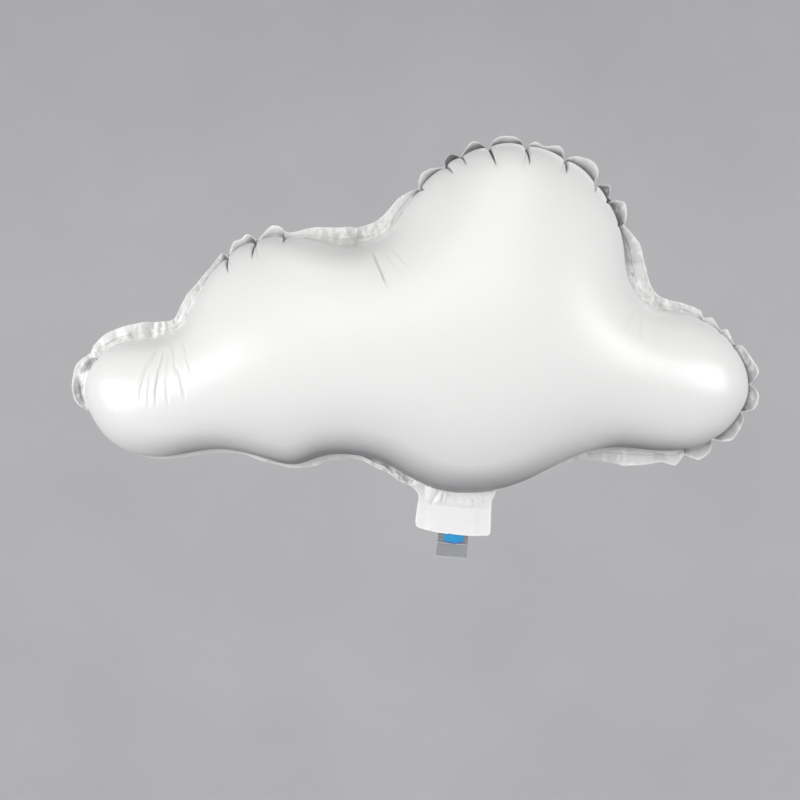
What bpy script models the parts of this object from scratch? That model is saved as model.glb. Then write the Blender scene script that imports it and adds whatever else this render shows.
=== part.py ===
# Cloud foil balloon: two foil sheets sealed at a crimped margin, with a neck tab and a flat film valve.
# Upright, in metres: +X to the viewer's right, +Y away from the viewer, +Z towards the cloud's crown.
# The origin is the middle of the gas space, on the plane where the two sheets meet.

import math

import bmesh
import bpy
import numpy as np
from mathutils.geometry import delaunay_2d_cdt

MM = 0.001

# Driving sizes
FOIL = 0.6 * MM  # wall that stands for the 0.04 mm foil
SEAL_GAP = 0.3 * MM  # left open between the two sheets where they are welded
MIDDLE_REACH = 0.7  # shares of the margin's reach and fall at its middle ring, so that it curls
MIDDLE_FALL = 0.3
FULLNESS = 0.88  # 1 would be a fully round section
RIM_DEPTH = 16 * MM  # band inside the seam that is meshed in rings
RIM_ANGLES = (0, 26, 50, 71, 90)  # degrees round the rim's section, one for each ring
SMOOTH_STEP = 9 * MM  # point spacing along a smooth stretch of the seam
PLEAT_STEPS = 6  # points along one scallop
LONGEST_SCALLOP = 44 * MM  # two creases further apart have a smooth stretch between them
BODY_STEP = 11.5 * MM  # point spacing over the middle of a sheet
CREASE_HALF_WIDTH = 3.2 * MM
PLEAT_FADE = 15 * MM  # from a crease to the full margin, where no other crease follows
SCALLOP_POWER = 0.6  # below 1 makes a scallop blunt, as a petal is

# Seam round the gas space, clockwise from the neck as the viewer sees it: x, z in mm
CLOUD_EDGE = (
    (10, -88), (-20, -73), (-42, -68.4), (-57, -70), (-71, -74.4), (-90, -71), (-120, -65.2),
    (-150, -68.4), (-175, -63), (-193, -46), (-199.6, -30), (-195.6, -14), (-183, -4.5), (-160, 0),
    (-142, 5.4), (-132.6, 20), (-121, 41), (-103, 56), (-82, 61.6), (-58, 59), (-35, 56), (-18, 62),
    (-3, 83), (11, 98.4), (27, 108), (40, 114), (56, 117.6), (76, 115.4), (98, 106), (115, 84),
    (124.6, 57), (128, 34), (140.5, 19.6), (162, 15.6), (180, 6.6), (194.6, -10), (199.8, -28),
    (190, -50), (170, -63.5), (145, -66), (120, -64), (93, -71), (60, -86.6), (35, -91),
)

# Creases where the slack seam is pinched in: x, z, recess in mm
CREASES = (
    (-198, -37, 1), (-196, -7, 1), (-113.4, 50.4, 1.6), (-95.6, 59.4, 2.4), (-78, 61, 2.4),
    (2.4, 90.6, 2.4), (19.2, 101.4, 2), (28.2, 108, 2), (44.4, 114.4, 2.4), (67.8, 116, 2.8),
    (89.4, 109.4, 2.8), (108.6, 93.6, 2.4), (117.6, 83.4, 2.4), (123, 68.4, 1.6), (173.4, 12.6, 1),
    (183.6, 5.4, 1), (193, -3.6, 1.4), (201, -26.4, 1.6), (196.2, -43.2, 1.6), (179, -60, 1.6),
    (161.4, -67.8, 1.6),
)

# Sealed margin outside the seam: x, z, reach in plan, fall-back of its edge, set-back of its root, all mm
MARGIN = (
    (-6, -79.5, 7.5, 1, 0), (-24, -71.5, 4.2, 5, 0), (-57, -70.5, 2.2, 7, 2), (-102, -68, 1.8, 8, 3),
    (-138, -68, 1.8, 8, 4), (-160, -69, 1.6, 8, 6), (-190, -53, 1.6, 8, 6), (-199.6, -30, 7, 4, 1),
    (-195.6, -12, 7.6, 2, 0), (-168, -0.6, 10.5, 0, 0), (-150, 2, 10.5, 0, 0), (-132.6, 20, 8, 1, 0),
    (-119, 45, 3.6, 4, 0), (-104, 56, 5.6, 4, 0), (-88, 61, 7.4, 4, 0), (-70, 60, 5.4, 2, 0),
    (-42, 56.3, 10.4, 0, 0), (-18, 62, 11, 0, 0), (-2, 84.6, 6, 3, 0), (11, 98.4, 6, 5, 0),
    (23, 105, 3, 4, 0), (36, 113, 3.6, 4, 0), (56, 118, 4.4, 4, 0), (80, 114.6, 2.4, 4, 0),
    (99, 105, 5.6, 4, 0), (112, 89, 5, 4, 0), (121, 73, 8, 4, 0), (124.6, 57, 10.6, 1, 0),
    (128, 36, 12.4, 0, 0), (140.4, 20, 10, 0, 0), (168, 13, 5, 2, 0), (188, 0, 4.4, 4, 0),
    (198, -16, 7.4, 5, 1), (199.8, -34, 7.4, 5, 1), (188, -52, 7, 5, 1), (170, -63.5, 7, 4, 1),
    (152, -66, 9, 2, 0), (122, -64, 11, 1, 0), (105, -66.6, 6, 3, 2), (87, -73.8, 1.8, 7, 4),
    (60, -87, 1.6, 8, 5), (46, -91, 1.6, 6, 3),
)
VALLEY_REACH = 1.5 * MM  # what is left of the reach at a crease

# Neck tab hanging from the seam, clockwise from its right top corner: x, z in mm
NECK_OUTLINE = (
    (48, -92.4), (45.9, -96.8), (45.5, -107.6), (45, -116.4), (43.8, -117.5), (32.6, -117.5),
    (13.8, -115.6), (2.2, -112.7), (0.3, -110), (0.3, -107.6), (2.2, -95.4), (1.1, -91), (-1.2, -88.6),
)
NECK_SEAM = ((-1, -83), (48, -90.6))  # the neck leaves the seam between these two places
NECK_CENTRE = 22.8 * MM
NECK_SLEEVE_HALF = 12.5 * MM  # the layers stand apart this far each side of the centre, for the valve
NECK_WELD_HALF = 17.5 * MM  # and are welded beyond this
SLEEVE_TOP = -66 * MM
NECK_ROWS = (-98, -104, -110)  # heights in mm of the tab's inner points
SLEEVE_OPEN = 1.05 * MM  # added to each side of the gap inside the sleeve

# Valve: two clear films welded at their long edges, one longer than the other
VALVE_FILM = 0.3 * MM
VALVE_WIDTH = 18.4 * MM
VALVE_TOP = -72 * MM
SHORT_FILM_END = -122.6 * MM
LONG_FILM_END = -130.8 * MM
VALVE_LEAN = 5.0  # degrees by which the strip leans off the vertical, its foot to the left
VALVE_SHIFT = 4 * MM  # the strip's top sits this far right of the neck's centre
PRINT_WIDTH = 11.6 * MM
PRINT_TOP = -113 * MM
PRINT_THICK = 0.15 * MM

FOIL_WHITE = (0.86, 0.86, 0.85)
CLEAR_FILM = (0.82, 0.84, 0.86)
PRINT_BLUE = (0.02, 0.42, 0.78)


def material(name, colour, roughness, metallic=0.0, alpha=1.0):
    made = bpy.data.materials.new(name)
    made.use_nodes = True
    shader = made.node_tree.nodes["Principled BSDF"]
    shader.inputs["Base Color"].default_value = (*colour, 1)
    shader.inputs["Roughness"].default_value = roughness
    shader.inputs["Metallic"].default_value = metallic
    shader.inputs["Alpha"].default_value = alpha
    return made


def closed_spline(points, count):
    """The smooth closed curve through the points, read at count places a like distance apart."""
    knots = np.array(points, float)
    chord = np.linalg.norm(np.roll(knots, -1, 0) - knots, axis=1)
    before = np.roll(chord, 1)
    size = len(knots)
    system = np.zeros((size, size))
    for i in range(size):
        system[i, i - 1] = chord[i]
        system[i, i] = 2 * (chord[i] + before[i])
        system[i, (i + 1) % size] = before[i]
    slope = (np.roll(knots, -1, 0) - knots) / chord[:, None]
    right = 3 * (slope * before[:, None] + np.roll(slope, 1, 0) * chord[:, None])
    tangent = np.linalg.solve(system, right)
    fine = []
    for i in range(size):
        j = (i + 1) % size
        for t in np.linspace(0, 1, 60, endpoint=False):
            fine.append(
                (2 * t**3 - 3 * t**2 + 1) * knots[i]
                + (t**3 - 2 * t**2 + t) * chord[i] * tangent[i]
                + (3 * t**2 - 2 * t**3) * knots[j]
                + (t**3 - t**2) * chord[i] * tangent[j]
            )
    return even_loop(np.array(fine), count)


def even_loop(loop, count):
    """A closed loop of points read again at count even distances along it."""
    closed = np.vstack([loop, loop[:1]])
    along = np.concatenate([[0], np.cumsum(np.linalg.norm(np.diff(closed, axis=0), axis=1))])
    places = np.linspace(0, along[-1], count, endpoint=False)
    return np.column_stack([np.interp(places, along, closed[:, k]) for k in range(2)])


class Seam:
    """The seam as a dense loop, with its length and its outward direction at any distance along it."""

    def __init__(self, points):
        self.loop = closed_spline(np.array(points) * MM, 4000)
        closed = np.vstack([self.loop, self.loop[:1]])
        step = np.linalg.norm(np.diff(closed, axis=0), axis=1)
        self.along = np.concatenate([[0], np.cumsum(step)])
        self.length = self.along[-1]
        ahead = np.roll(self.loop, -1, 0) - np.roll(self.loop, 1, 0)
        ahead /= np.linalg.norm(ahead, axis=1)[:, None]
        self.outward = np.column_stack([-ahead[:, 1], ahead[:, 0]])

    def place(self, x, z):
        """How far along the seam the point nearest to x, z lies."""
        return self.along[np.argmin(np.hypot(self.loop[:, 0] - x, self.loop[:, 1] - z))]

    def at(self, places):
        """Points and outward directions at these distances along."""
        places = np.mod(places, self.length)
        closed = np.vstack([self.loop, self.loop[:1]])
        normals = np.vstack([self.outward, self.outward[:1]])
        point = np.column_stack([np.interp(places, self.along, closed[:, k]) for k in range(2)])
        out = np.column_stack([np.interp(places, self.along, normals[:, k]) for k in range(2)])
        return point, out / np.linalg.norm(out, axis=1)[:, None]


def seam_stations(seam, creases):
    """Distances along the seam for the mesh's points, closer together where it is scalloped."""
    stations = []
    for i, start in enumerate(creases):
        end = creases[(i + 1) % len(creases)]
        run = (end - start) % seam.length
        steps = PLEAT_STEPS if run < LONGEST_SCALLOP else math.ceil(run / SMOOTH_STEP)
        stations += [start + run * k / steps for k in range(steps)]
    return np.sort(np.mod(stations, seam.length))


def scallop(seam, creases, station):
    """0 at a crease and 1 in the middle of a scallop or on a smooth stretch."""
    behind = min((station - c) % seam.length for c in creases)
    ahead = min((c - station) % seam.length for c in creases)
    if min(behind, ahead) < 0.01 * MM:
        return 0.0
    run = behind + ahead
    if run > LONGEST_SCALLOP:
        nearest = min(behind, ahead)
        return min(1.0, nearest / PLEAT_FADE) ** SCALLOP_POWER
    return math.sin(math.pi * behind / run) ** SCALLOP_POWER


def periodic(seam, rows, column, stations):
    """A column of a table of places on the seam, read in between along the seam."""
    known = sorted((seam.place(r[0] * MM, r[1] * MM), r[column] * MM) for r in rows)
    first, last = known[0], known[-1]
    known = [(last[0] - seam.length, last[1])] + known + [(first[0] + seam.length, first[1])]
    return np.interp(stations, [k[0] for k in known], [k[1] for k in known])


def crease_recess(seam, station):
    """How far the seam is pulled in at this place by the creases near it."""
    pull = 0.0
    for x, z, recess in CREASES:
        gap = abs((station - seam.place(x * MM, z * MM) + seam.length / 2) % seam.length - seam.length / 2)
        pull = max(pull, recess * MM * math.exp(-((gap / CREASE_HALF_WIDTH) ** 2)))
    return pull


def inside(points, loop):
    """Which of the points lie inside a closed loop."""
    x, z = points[:, 0][:, None], points[:, 1][:, None]
    x0, z0 = loop[:, 0], loop[:, 1]
    x1, z1 = np.roll(x0, -1), np.roll(z0, -1)
    spans = (z0 > z) != (z1 > z)
    with np.errstate(divide="ignore", invalid="ignore"):
        crosses = spans & (x < x0 + (z - z0) * (x1 - x0) / (z1 - z0))
    return crosses.sum(1) % 2 == 1


def body_points(ring):
    """A staggered grid over the space inside the innermost rim ring."""
    low, high = ring.min(0), ring.max(0)
    rows = []
    for j in range(int((high[1] - low[1]) / (BODY_STEP * 0.866)) + 1):
        shift = BODY_STEP / 2 * (j % 2)
        for i in range(int((high[0] - low[0]) / BODY_STEP) + 1):
            rows.append((low[0] + shift + i * BODY_STEP, low[1] + (j + 0.5) * BODY_STEP * 0.866))
    grid = np.array(rows)
    grid = grid[inside(grid, ring)]
    away = np.array([np.min(np.linalg.norm(ring - g, axis=1)) for g in grid])
    return grid[away > 0.62 * BODY_STEP]


def inflated_height(points, triangles, held):
    """Height of a gas-filled sheet held down at its seam: the root of an evenly loaded membrane's sag."""
    a, b, c = (points[triangles[:, k]] for k in range(3))
    double = (b[:, 0] - a[:, 0]) * (c[:, 1] - a[:, 1]) - (b[:, 1] - a[:, 1]) * (c[:, 0] - a[:, 0])
    area = np.abs(double) / 2
    across = [c - b, a - c, b - a]
    size = len(points)
    stiff = np.zeros((size, size))
    load = np.zeros(size)
    for i in range(3):
        np.add.at(load, triangles[:, i], area / 3)
        for j in range(3):
            value = (across[i] * across[j]).sum(1) / (4 * area)
            np.add.at(stiff, (triangles[:, i], triangles[:, j]), value)
    free = ~held
    sag = np.zeros(size)
    sag[free] = np.linalg.solve(stiff[np.ix_(free, free)], load[free])
    return FULLNESS * np.sqrt(2 * np.maximum(sag, 0))


class SheetPlan:
    """Every point of a foil sheet in plan, its triangles, and how each point stands off the seam plane."""

    def __init__(self):
        self.seam = Seam(CLOUD_EDGE)
        creases = sorted(self.seam.place(x * MM, z * MM) for x, z, _ in CREASES)
        stations = seam_stations(self.seam, creases)
        edge, outward = self.seam.at(stations)
        wave = np.array([scallop(self.seam, creases, s) for s in stations])
        recess = np.array([crease_recess(self.seam, s) for s in stations])
        reach, fall, root = (periodic(self.seam, MARGIN, k, stations) for k in (2, 3, 4))
        reach = VALLEY_REACH + (reach - VALLEY_REACH) * wave
        self.count = len(stations)
        neck = self.in_neck(stations)

        depths = [RIM_DEPTH * (1 - math.cos(math.radians(a))) for a in RIM_ANGLES]
        rings = [edge - outward * (d + recess * (1 - d / RIM_DEPTH))[:, None] for d in depths]
        middle = edge + outward * (reach * MIDDLE_REACH - recess)[:, None]
        tip = edge + outward * (reach - recess)[:, None]
        outer, outer_fall = self.outer_loop(tip, (root + fall * wave), neck)
        tab = self.tab_points()
        kept = [i for i in range(self.count) if not neck[i]]
        body = body_points(rings[-1])

        blocks = [*rings, middle[kept], outer, tab, body]
        starts = np.concatenate([[0], np.cumsum([len(b) for b in blocks])])
        self.points = np.vstack(blocks)
        self.fall = np.zeros(len(self.points))
        self.fall[: self.count] = root * ~neck
        margin_start, outer_start = starts[len(rings)], starts[len(rings) + 1]
        self.fall[margin_start:outer_start] = (root + fall * wave * MIDDLE_FALL)[kept]
        self.fall[outer_start : outer_start + len(outer)] = outer_fall
        loops = [list(range(starts[k], starts[k + 1])) for k in range(len(rings))]
        loops.append(list(range(outer_start, outer_start + len(outer))))
        fixed = [(loop[i], loop[(i + 1) % len(loop)]) for loop in loops for i in range(len(loop))]
        position = {station: margin_start + n for n, station in enumerate(kept)}
        for i in kept:
            if (i + 1) % self.count in position:
                fixed.append((position[i], position[(i + 1) % self.count]))
        self.triangles = self.triangulate(fixed, outer)
        self.sleeve = self.sleeve_gap()
        gas = np.zeros(len(self.points), bool)
        gas[: starts[len(rings)]] = True
        gas[starts[-2] :] = True
        self.height = np.zeros(len(self.points))
        domed = self.triangles[gas[self.triangles].all(1)]
        used = np.unique(domed)
        number = np.full(len(self.points), -1)
        number[used] = np.arange(len(used))
        held = used < self.count
        self.height[used] = inflated_height(self.points[used], number[domed], held)

    def in_neck(self, stations):
        """Which stations lie where the neck leaves the seam."""
        start, end = (self.seam.place(x * MM, z * MM) for x, z in NECK_SEAM)
        if start > end:
            return (stations >= end) & (stations <= start)
        return (stations <= start) | (stations >= end)

    def outer_loop(self, tip, fall, neck):
        """The margin's cut edge, with the tab's outline in place of the stations in the neck."""
        order = list(range(self.count))
        while neck[order[0]] or not neck[order[-1]]:
            order.append(order.pop(0))
        kept = [i for i in order if not neck[i]]
        tab = np.array(NECK_OUTLINE) * MM
        return np.vstack([tip[kept], tab]), np.concatenate([fall[kept], np.zeros(len(tab))])

    def tab_points(self):
        columns = (-NECK_WELD_HALF, -NECK_SLEEVE_HALF, 0, NECK_SLEEVE_HALF, NECK_WELD_HALF)
        return np.array([(NECK_CENTRE + x, z * MM) for z in NECK_ROWS for x in columns])

    def triangulate(self, fixed, outer):
        """Triangles between all the points that keep the rings as edges, inside the cut edge."""
        made = delaunay_2d_cdt([tuple(p) for p in self.points], fixed, [], 0, 1e-7)
        corners, faces, sources = made[0], made[2], made[3]
        original = [source[0] for source in sources]
        if len(corners) != len(self.points):
            raise ValueError("the plan's rings cross each other")
        triangles = np.array([[original[v] for v in face] for face in faces])
        middle = self.points[triangles].mean(1)
        return triangles[inside(middle, outer)]

    def sleeve_gap(self):
        """Extra stand-off inside the neck's sleeve, where the valve films pass between the layers."""
        across = np.abs(self.points[:, 0] - NECK_CENTRE)
        share = np.clip((NECK_WELD_HALF - across) / (NECK_WELD_HALF - NECK_SLEEVE_HALF), 0, 1)
        return SLEEVE_OPEN * share * (self.points[:, 1] < SLEEVE_TOP)


def foil_sheet(name, plan, side, white):
    """One sheet with its dome, margin and neck layer. side is -1 for the front and +1 for the back."""
    stand_off = side * (SEAL_GAP / 2 + plan.sleeve + plan.height)
    points = [(x, y, z) for (x, z), y in zip(plan.points, plan.fall + stand_off)]
    mesh = bpy.data.meshes.new(name)
    mesh.from_pydata(points, [], [tuple(int(v) for v in t) for t in plan.triangles])
    work = bmesh.new()
    work.from_mesh(mesh)
    for face in work.faces:
        face.normal_update()
        if face.normal.y * side < 0:
            face.normal_flip()
    work.to_mesh(mesh)
    work.free()
    mesh.materials.append(white)
    sheet = bpy.data.objects.new(name, mesh)
    bpy.context.collection.objects.link(sheet)
    wall = sheet.modifiers.new("Wall", "SOLIDIFY")
    wall.thickness = FOIL
    wall.offset = 1
    wall.use_even_offset = True
    wall.use_quality_normals = True
    mesh.shade_smooth()
    return sheet


def slip(name, width, top, foot, front, thick, finish):
    """A flat strip of film hanging in the neck, turned about the valve's top by its lean."""
    mesh = bpy.data.meshes.new(name)
    work = bmesh.new()
    bmesh.ops.create_cube(work, size=1)
    sine, cosine = math.sin(math.radians(VALVE_LEAN)), math.cos(math.radians(VALVE_LEAN))
    for corner in work.verts:
        drop = VALVE_TOP - (top if corner.co.z > 0 else foot)
        across = corner.co.x * width
        x = NECK_CENTRE + VALVE_SHIFT - drop * sine + across * cosine
        z = VALVE_TOP - drop * cosine - across * sine
        corner.co = (x, front + (corner.co.y + 0.5) * thick, z)
    work.to_mesh(mesh)
    work.free()
    mesh.materials.append(finish)
    made = bpy.data.objects.new(name, mesh)
    bpy.context.collection.objects.link(made)
    return made


def build():
    for old in list(bpy.data.objects):
        bpy.data.objects.remove(old)
    white = material("white_foil", FOIL_WHITE, 0.32)
    clear = material("clear_film", CLEAR_FILM, 0.12, alpha=0.3)
    blue = material("blue_print", PRINT_BLUE, 0.45)
    plan = SheetPlan()
    foil_sheet("front_foil_sheet", plan, -1, white)
    foil_sheet("back_foil_sheet", plan, 1, white)
    between = SEAL_GAP / 2
    slip("valve_film_front", VALVE_WIDTH, VALVE_TOP, SHORT_FILM_END, -between - VALVE_FILM, VALVE_FILM, clear)
    slip("valve_film_back", VALVE_WIDTH, VALVE_TOP, LONG_FILM_END, between, VALVE_FILM, clear)
    print_front = -between - VALVE_FILM - SEAL_GAP - PRINT_THICK
    slip("valve_print", PRINT_WIDTH, PRINT_TOP, SHORT_FILM_END, print_front, PRINT_THICK, blue)


build()
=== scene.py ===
# Cloud foil balloon: the finished film, its welded margin, the neck tab and the clear valve.
# Lengths in the dictionaries are in millimetres, and everything is built in the frame's metres.
# x runs to the viewer's right, y away from the viewer and z up, as in the frame.

import math

import bpy
import numpy as np
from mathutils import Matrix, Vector
from mathutils.geometry import delaunay_2d_cdt


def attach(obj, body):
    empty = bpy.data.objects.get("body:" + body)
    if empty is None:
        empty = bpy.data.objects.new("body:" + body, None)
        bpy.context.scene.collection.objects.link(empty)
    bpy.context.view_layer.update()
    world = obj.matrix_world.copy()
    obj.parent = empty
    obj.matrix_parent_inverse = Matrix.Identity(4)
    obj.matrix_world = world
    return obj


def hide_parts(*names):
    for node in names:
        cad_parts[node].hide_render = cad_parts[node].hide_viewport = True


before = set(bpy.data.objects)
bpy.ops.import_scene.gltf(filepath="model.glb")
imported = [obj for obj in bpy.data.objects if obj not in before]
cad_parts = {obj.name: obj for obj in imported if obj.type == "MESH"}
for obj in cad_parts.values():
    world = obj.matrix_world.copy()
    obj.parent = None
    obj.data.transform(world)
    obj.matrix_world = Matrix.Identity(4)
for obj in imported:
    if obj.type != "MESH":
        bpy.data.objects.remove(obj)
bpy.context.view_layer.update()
mm = 0.001

# what the camera sees, which the wrinkles are placed by too
view = {
    "pixel": 0.6,  # on the plane of the seam
    "pixels": 800,  # across the picture
    "sensor": 36,
    "distance": 1150,
    "centre": (-9, -36),  # x and z in the middle of the picture
}

# seam between the two sheets, clockwise from the neck: x, z
cloudEdge = (
    (10, -88), (-20, -73), (-42, -68.4), (-57, -70), (-71, -74.4), (-90, -71), (-120, -65.4),
    (-150.4, -69.8), (-176.2, -65), (-193.4, -47), (-197.8, -31), (-193.4, -15), (-183, -4.5),
    (-160, 0), (-142, 5.4), (-132.6, 20), (-121, 41), (-103, 56), (-82, 61.6), (-58, 59), (-35, 56),
    (-18, 62), (-3, 83), (11, 98.4), (26.7, 109.2), (40, 114.6), (56, 117.4), (75.8, 114.2),
    (96.8, 104.2), (115, 83.6), (124.6, 57), (128, 34), (140.5, 19.6), (162, 15.6), (180, 6.6),
    (194.6, -10), (199.8, -28), (190, -50), (170, -63.5), (145, -66), (120, -64), (93, -71),
    (60, -86.6), (35, -91),
)

# creases, clockwise: x, z, depth of the puffs beside it, depth of its own groove,
# its length up the dome as seen, how far it leans along the seam to a millimetre of that length,
# and how fast the painted shade at the root of the margin after it fades outwards
creases = (
    (-198, -37, 0.4, 0.6, 1, 0, 0.5), (-196, -7, 0.4, 0.8, 1.5, 0, 0.5),
    (-113.4, 50.4, 1.0, 2.0, 10, -0.6, 0.6), (-95.6, 59.4, 1.6, 2.3, 12, -0.45, 0.6),
    (-78, 61, 1.4, 1.5, 5, 0, 0.6), (2.4, 90.6, 1.4, 2.2, 3, 0, 1.0),
    (20, 101.6, 2.0, 1.1, 8, -0.1, 0.2), (28.2, 108, 1.5, 1.0, 8, -0.15, 0.5),
    (43.8, 114.4, 2.0, 2.8, 15, 0, 0.5), (66.2, 116.4, 2.2, 3.0, 15, 0.3, 1.1),
    (90.2, 108.6, 2.2, 2.4, 12, 0.45, 1.2), (108.6, 93.6, 1.3, 1.4, 8, 0.7, 0.35),
    (117.6, 83.4, 0.8, 1.2, 3, 0, 0.9), (123, 68.4, 0.5, 0.8, 2, 0, 1.0),
    (173.4, 12.6, 0.4, 0.6, 1.2, 0, 0.6), (183.6, 5.4, 0.4, 0.6, 1.2, 0, 0.6),
    (193, -3.6, 0.4, 0.6, 1.2, 0, 0.6), (201, -26.4, 0.3, 0.3, 0.8, 0, 0.6),
    (196.2, -43.2, 0.3, 0.3, 0.8, 0, 0.6), (179, -60, 0.3, 0.3, 0.8, 0, 0.6),
    (161.4, -67.8, 0.3, 0.4, 0.8, 0, 0.6),
)

# welded margin: x, z, how far its cut edge bends back, how far the seam itself sits back,
# how dark the painted shade of the margin is at its root, and how dark the painted shade on the lobe's rim
# above it is
margin = (
    (-6, -79.5, 0.5, 0, 0, 0.25), (-24, -71.5, 1.5, 0, 0, 0.6), (-57, -70.5, 6, 2, 0, 1.0),
    (-102, -68, 7, 3, 0, 0.55), (-138, -68, 7, 4, 0, 0.6), (-160, -69, 7, 5, 0.1, 0.2),
    (-190, -53, 6, 4, 0, 0), (-197.8, -31, 5, 1, 0, 0), (-193.4, -13, 2, 0, 0, 0),
    (-168, -0.6, 0, 0, 0, 0), (-132.6, 20, 1, 0, 0, 0), (-119, 45, 4, 0, 0.35, 0),
    (-104, 56, 4, 0, 0.5, 0), (-88, 61, 4, 0, 0.5, 0), (-72, 60, 2, 0, 0.15, 0),
    (-42, 56.3, 0, 0, 0, 0.1), (-18, 62, 0, 0, 0, 0), (-2, 84.6, 3, 0, 0.3, 0),
    (11, 98.4, 7, 0, 0.9, 0), (36, 113, 7.5, 0, 1, 0), (57, 118, 7.5, 0, 0.75, 0),
    (80, 114.6, 7.5, 0, 1, 0), (99, 105, 7.5, 0, 0.9, 0), (112, 89, 7, 0, 1, 0), (121, 73, 6, 0, 1, 0),
    (124.6, 57, 3, 0, 0.66, 0), (127, 42, 0.5, 0, 0.25, 0), (128, 34, 0, 0, 0.05, 0),
    (140.4, 20, 0, 0, 0, 0), (168, 13, 2, 0, 0.15, 0.1), (188, 0, 4, 0, 0.4, 0),
    (198, -16, 5.5, 1, 0.75, 0), (199.8, -34, 5.5, 1, 0.65, 0), (188, -52, 5.5, 1, 0.65, 0.15),
    (170, -63.5, 5, 1, 0.5, 0.35), (152, -66, 2, 0, 0.2, 0.65), (122, -64, 1, 0, 0.1, 0.7),
    (105, -66.6, 3, 2, 0, 0.4), (87, -73.8, 6, 3, 0, 0.3), (60, -87, 7, 4, 0, 0.2),
    (46, -91, 5, 2, 0, 0.2),
)

# broad soft shade under the belly, where the dome turns away above the neck: x, z, how dark at the seam
bellyShade = (
    (-71, -74.4, 0), (-45, -69, 0.1), (-20, -73, 0.25), (10, -88, 0.44), (35, -91, 0.48),
    (60, -86.6, 0.4), (84, -74, 0.16), (105, -66.6, 0), (128, 34, 0), (-35, 56, 0), (-197.8, -31, 0),
)

# corners of the margin's cut edge: from which crease, then mm past it and reach beyond the seam
cutEdge = (
    (0, (0, 6.6), (2.9, 8.2), (7, 8.7), (14.3, 9.3), (19, 9.5), (27.6, 5.4)),
    (1, (4, 7.0), (11.3, 8.6), (18.8, 9.4), (32.8, 11.1), (46.8, 9.4), (58.1, 6.9), (67.1, 7.6),
     (75.6, 7.2), (83.6, 4.6), (95.6, 3.2), (106, 4.4)),
    (2, (0, 2.4), (1.2, 1.2), (3, 1.9), (8, 6.2), (12.5, 4.9), (15.7, 6.5), (17.6, 5.2)),
    (3, (0, 1.4), (2, 1.2), (8, 6.0), (11, 7.9), (14.5, 6.9)),
    (4, (0, 3.4), (3.3, 3.0), (7.8, 4.4), (14, 7.4), (19.5, 8.8), (39, 12.2), (42.6, 11.3),
     (53.3, 11.7), (64.3, 10.7), (73.6, 9.2), (85, 7.4), (88.6, 6.0), (93, 3.4)),
    (5, (0, 0.8), (3, 3.8), (7, 6.2), (9, 6.3), (13.5, 5.2), (19, 1.4)),
    (6, (0, 0), (1.7, 3.4), (5.3, 5.6), (7.5, 5.5), (9.8, 2.9)),
    (7, (0, 0.4), (6, 4.6), (10, 7.0), (14, 5.0), (16.4, 0.8)),
    (8, (0, -1.6), (1.8, 0.6), (3.6, 3.0), (6, 5.0), (9.5, 6.3), (16.8, 5.6), (20.3, 3.4), (22.6, -1.6)),
    (9, (0, -3), (1.6, -0.6), (2.7, 1.9), (4.4, 3.9), (5.9, 4.8), (8.1, 4.4), (10.2, 3.4),
     (12.3, 3.6), (15.4, 5.4), (19.4, 7.1), (21.8, 6.0), (24, 2.8)),
    (10, (0, -2.2), (0.7, 1.2), (1.6, 3.2), (4.4, 6.0), (9.2, 8.4), (11.4, 9.5), (14.8, 9.9),
     (18.2, 8.6), (20.6, 6.2), (22.2, 1.6)),
    (11, (0, -0.4), (2.4, 3.8), (4.9, 7.6), (5.8, 7.8), (8.2, 5.8), (10.6, 3.0)),
    (12, (0, 3.2), (1.2, 6.4), (3.5, 9.6), (4.8, 10.2), (10.4, 8.4), (14, 5.6)),
    (13, (0, 3.8), (1.5, 4.4), (12.3, 10.8), (15.5, 11.3), (28, 12.8), (39.3, 12.1), (55.6, 9.2),
     (65.8, 7.1), (74.9, 6.0), (84.6, 5.2), (86.6, 2.6)),
    (14, (0, 2.0), (3.8, 5.2), (5.3, 4.4), (11.3, 2.0)),
    (15, (0, 2.0), (2.3, 5.3), (4.3, 4.5), (11, 2.1)),
    (16, (0, 2.6), (1.8, 5.7), (8, 6.6), (15.8, 8.7), (18.5, 8.8), (22.8, 2.8)),
    (17, (0, 1.6), (1.3, 4.0), (4.5, 8.2), (9.8, 9.1), (13.3, 7.4), (16.2, 2.2)),
    (18, (0, 1.2), (2.2, 5.2), (8, 7.2), (15, 8.4), (19, 5.4), (23, 1.0)),
    (19, (0, 0.6), (0.8, 1.8), (2.8, 5.4), (5.8, 7.6), (11, 8.9), (17, 4.0)),
    (20, (0, 3.4), (5, 9.6), (12.5, 6.9), (23, 9.9), (35, 11.6), (51.8, 7.8), (58, 5.2), (67, 3.2),
     (76.6, 1.7), (89, 0.8), (109, 0.9), (120, 1.2), (168, 4.8), (174.3, 5.7), (182.5, 4.6),
     (191.8, 4.9), (201.8, 2.7), (209.6, 2.3), (215, 3.6), (225.6, 3.5), (228.6, 4.7), (233, 4.5),
     (240, 3.0), (253, 1.5), (265, 2.7), (275, 1.4), (291, 2.4), (314, 2.1), (332, 1.2), (343, 0.6),
     (380, 0.5)),
)

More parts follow.
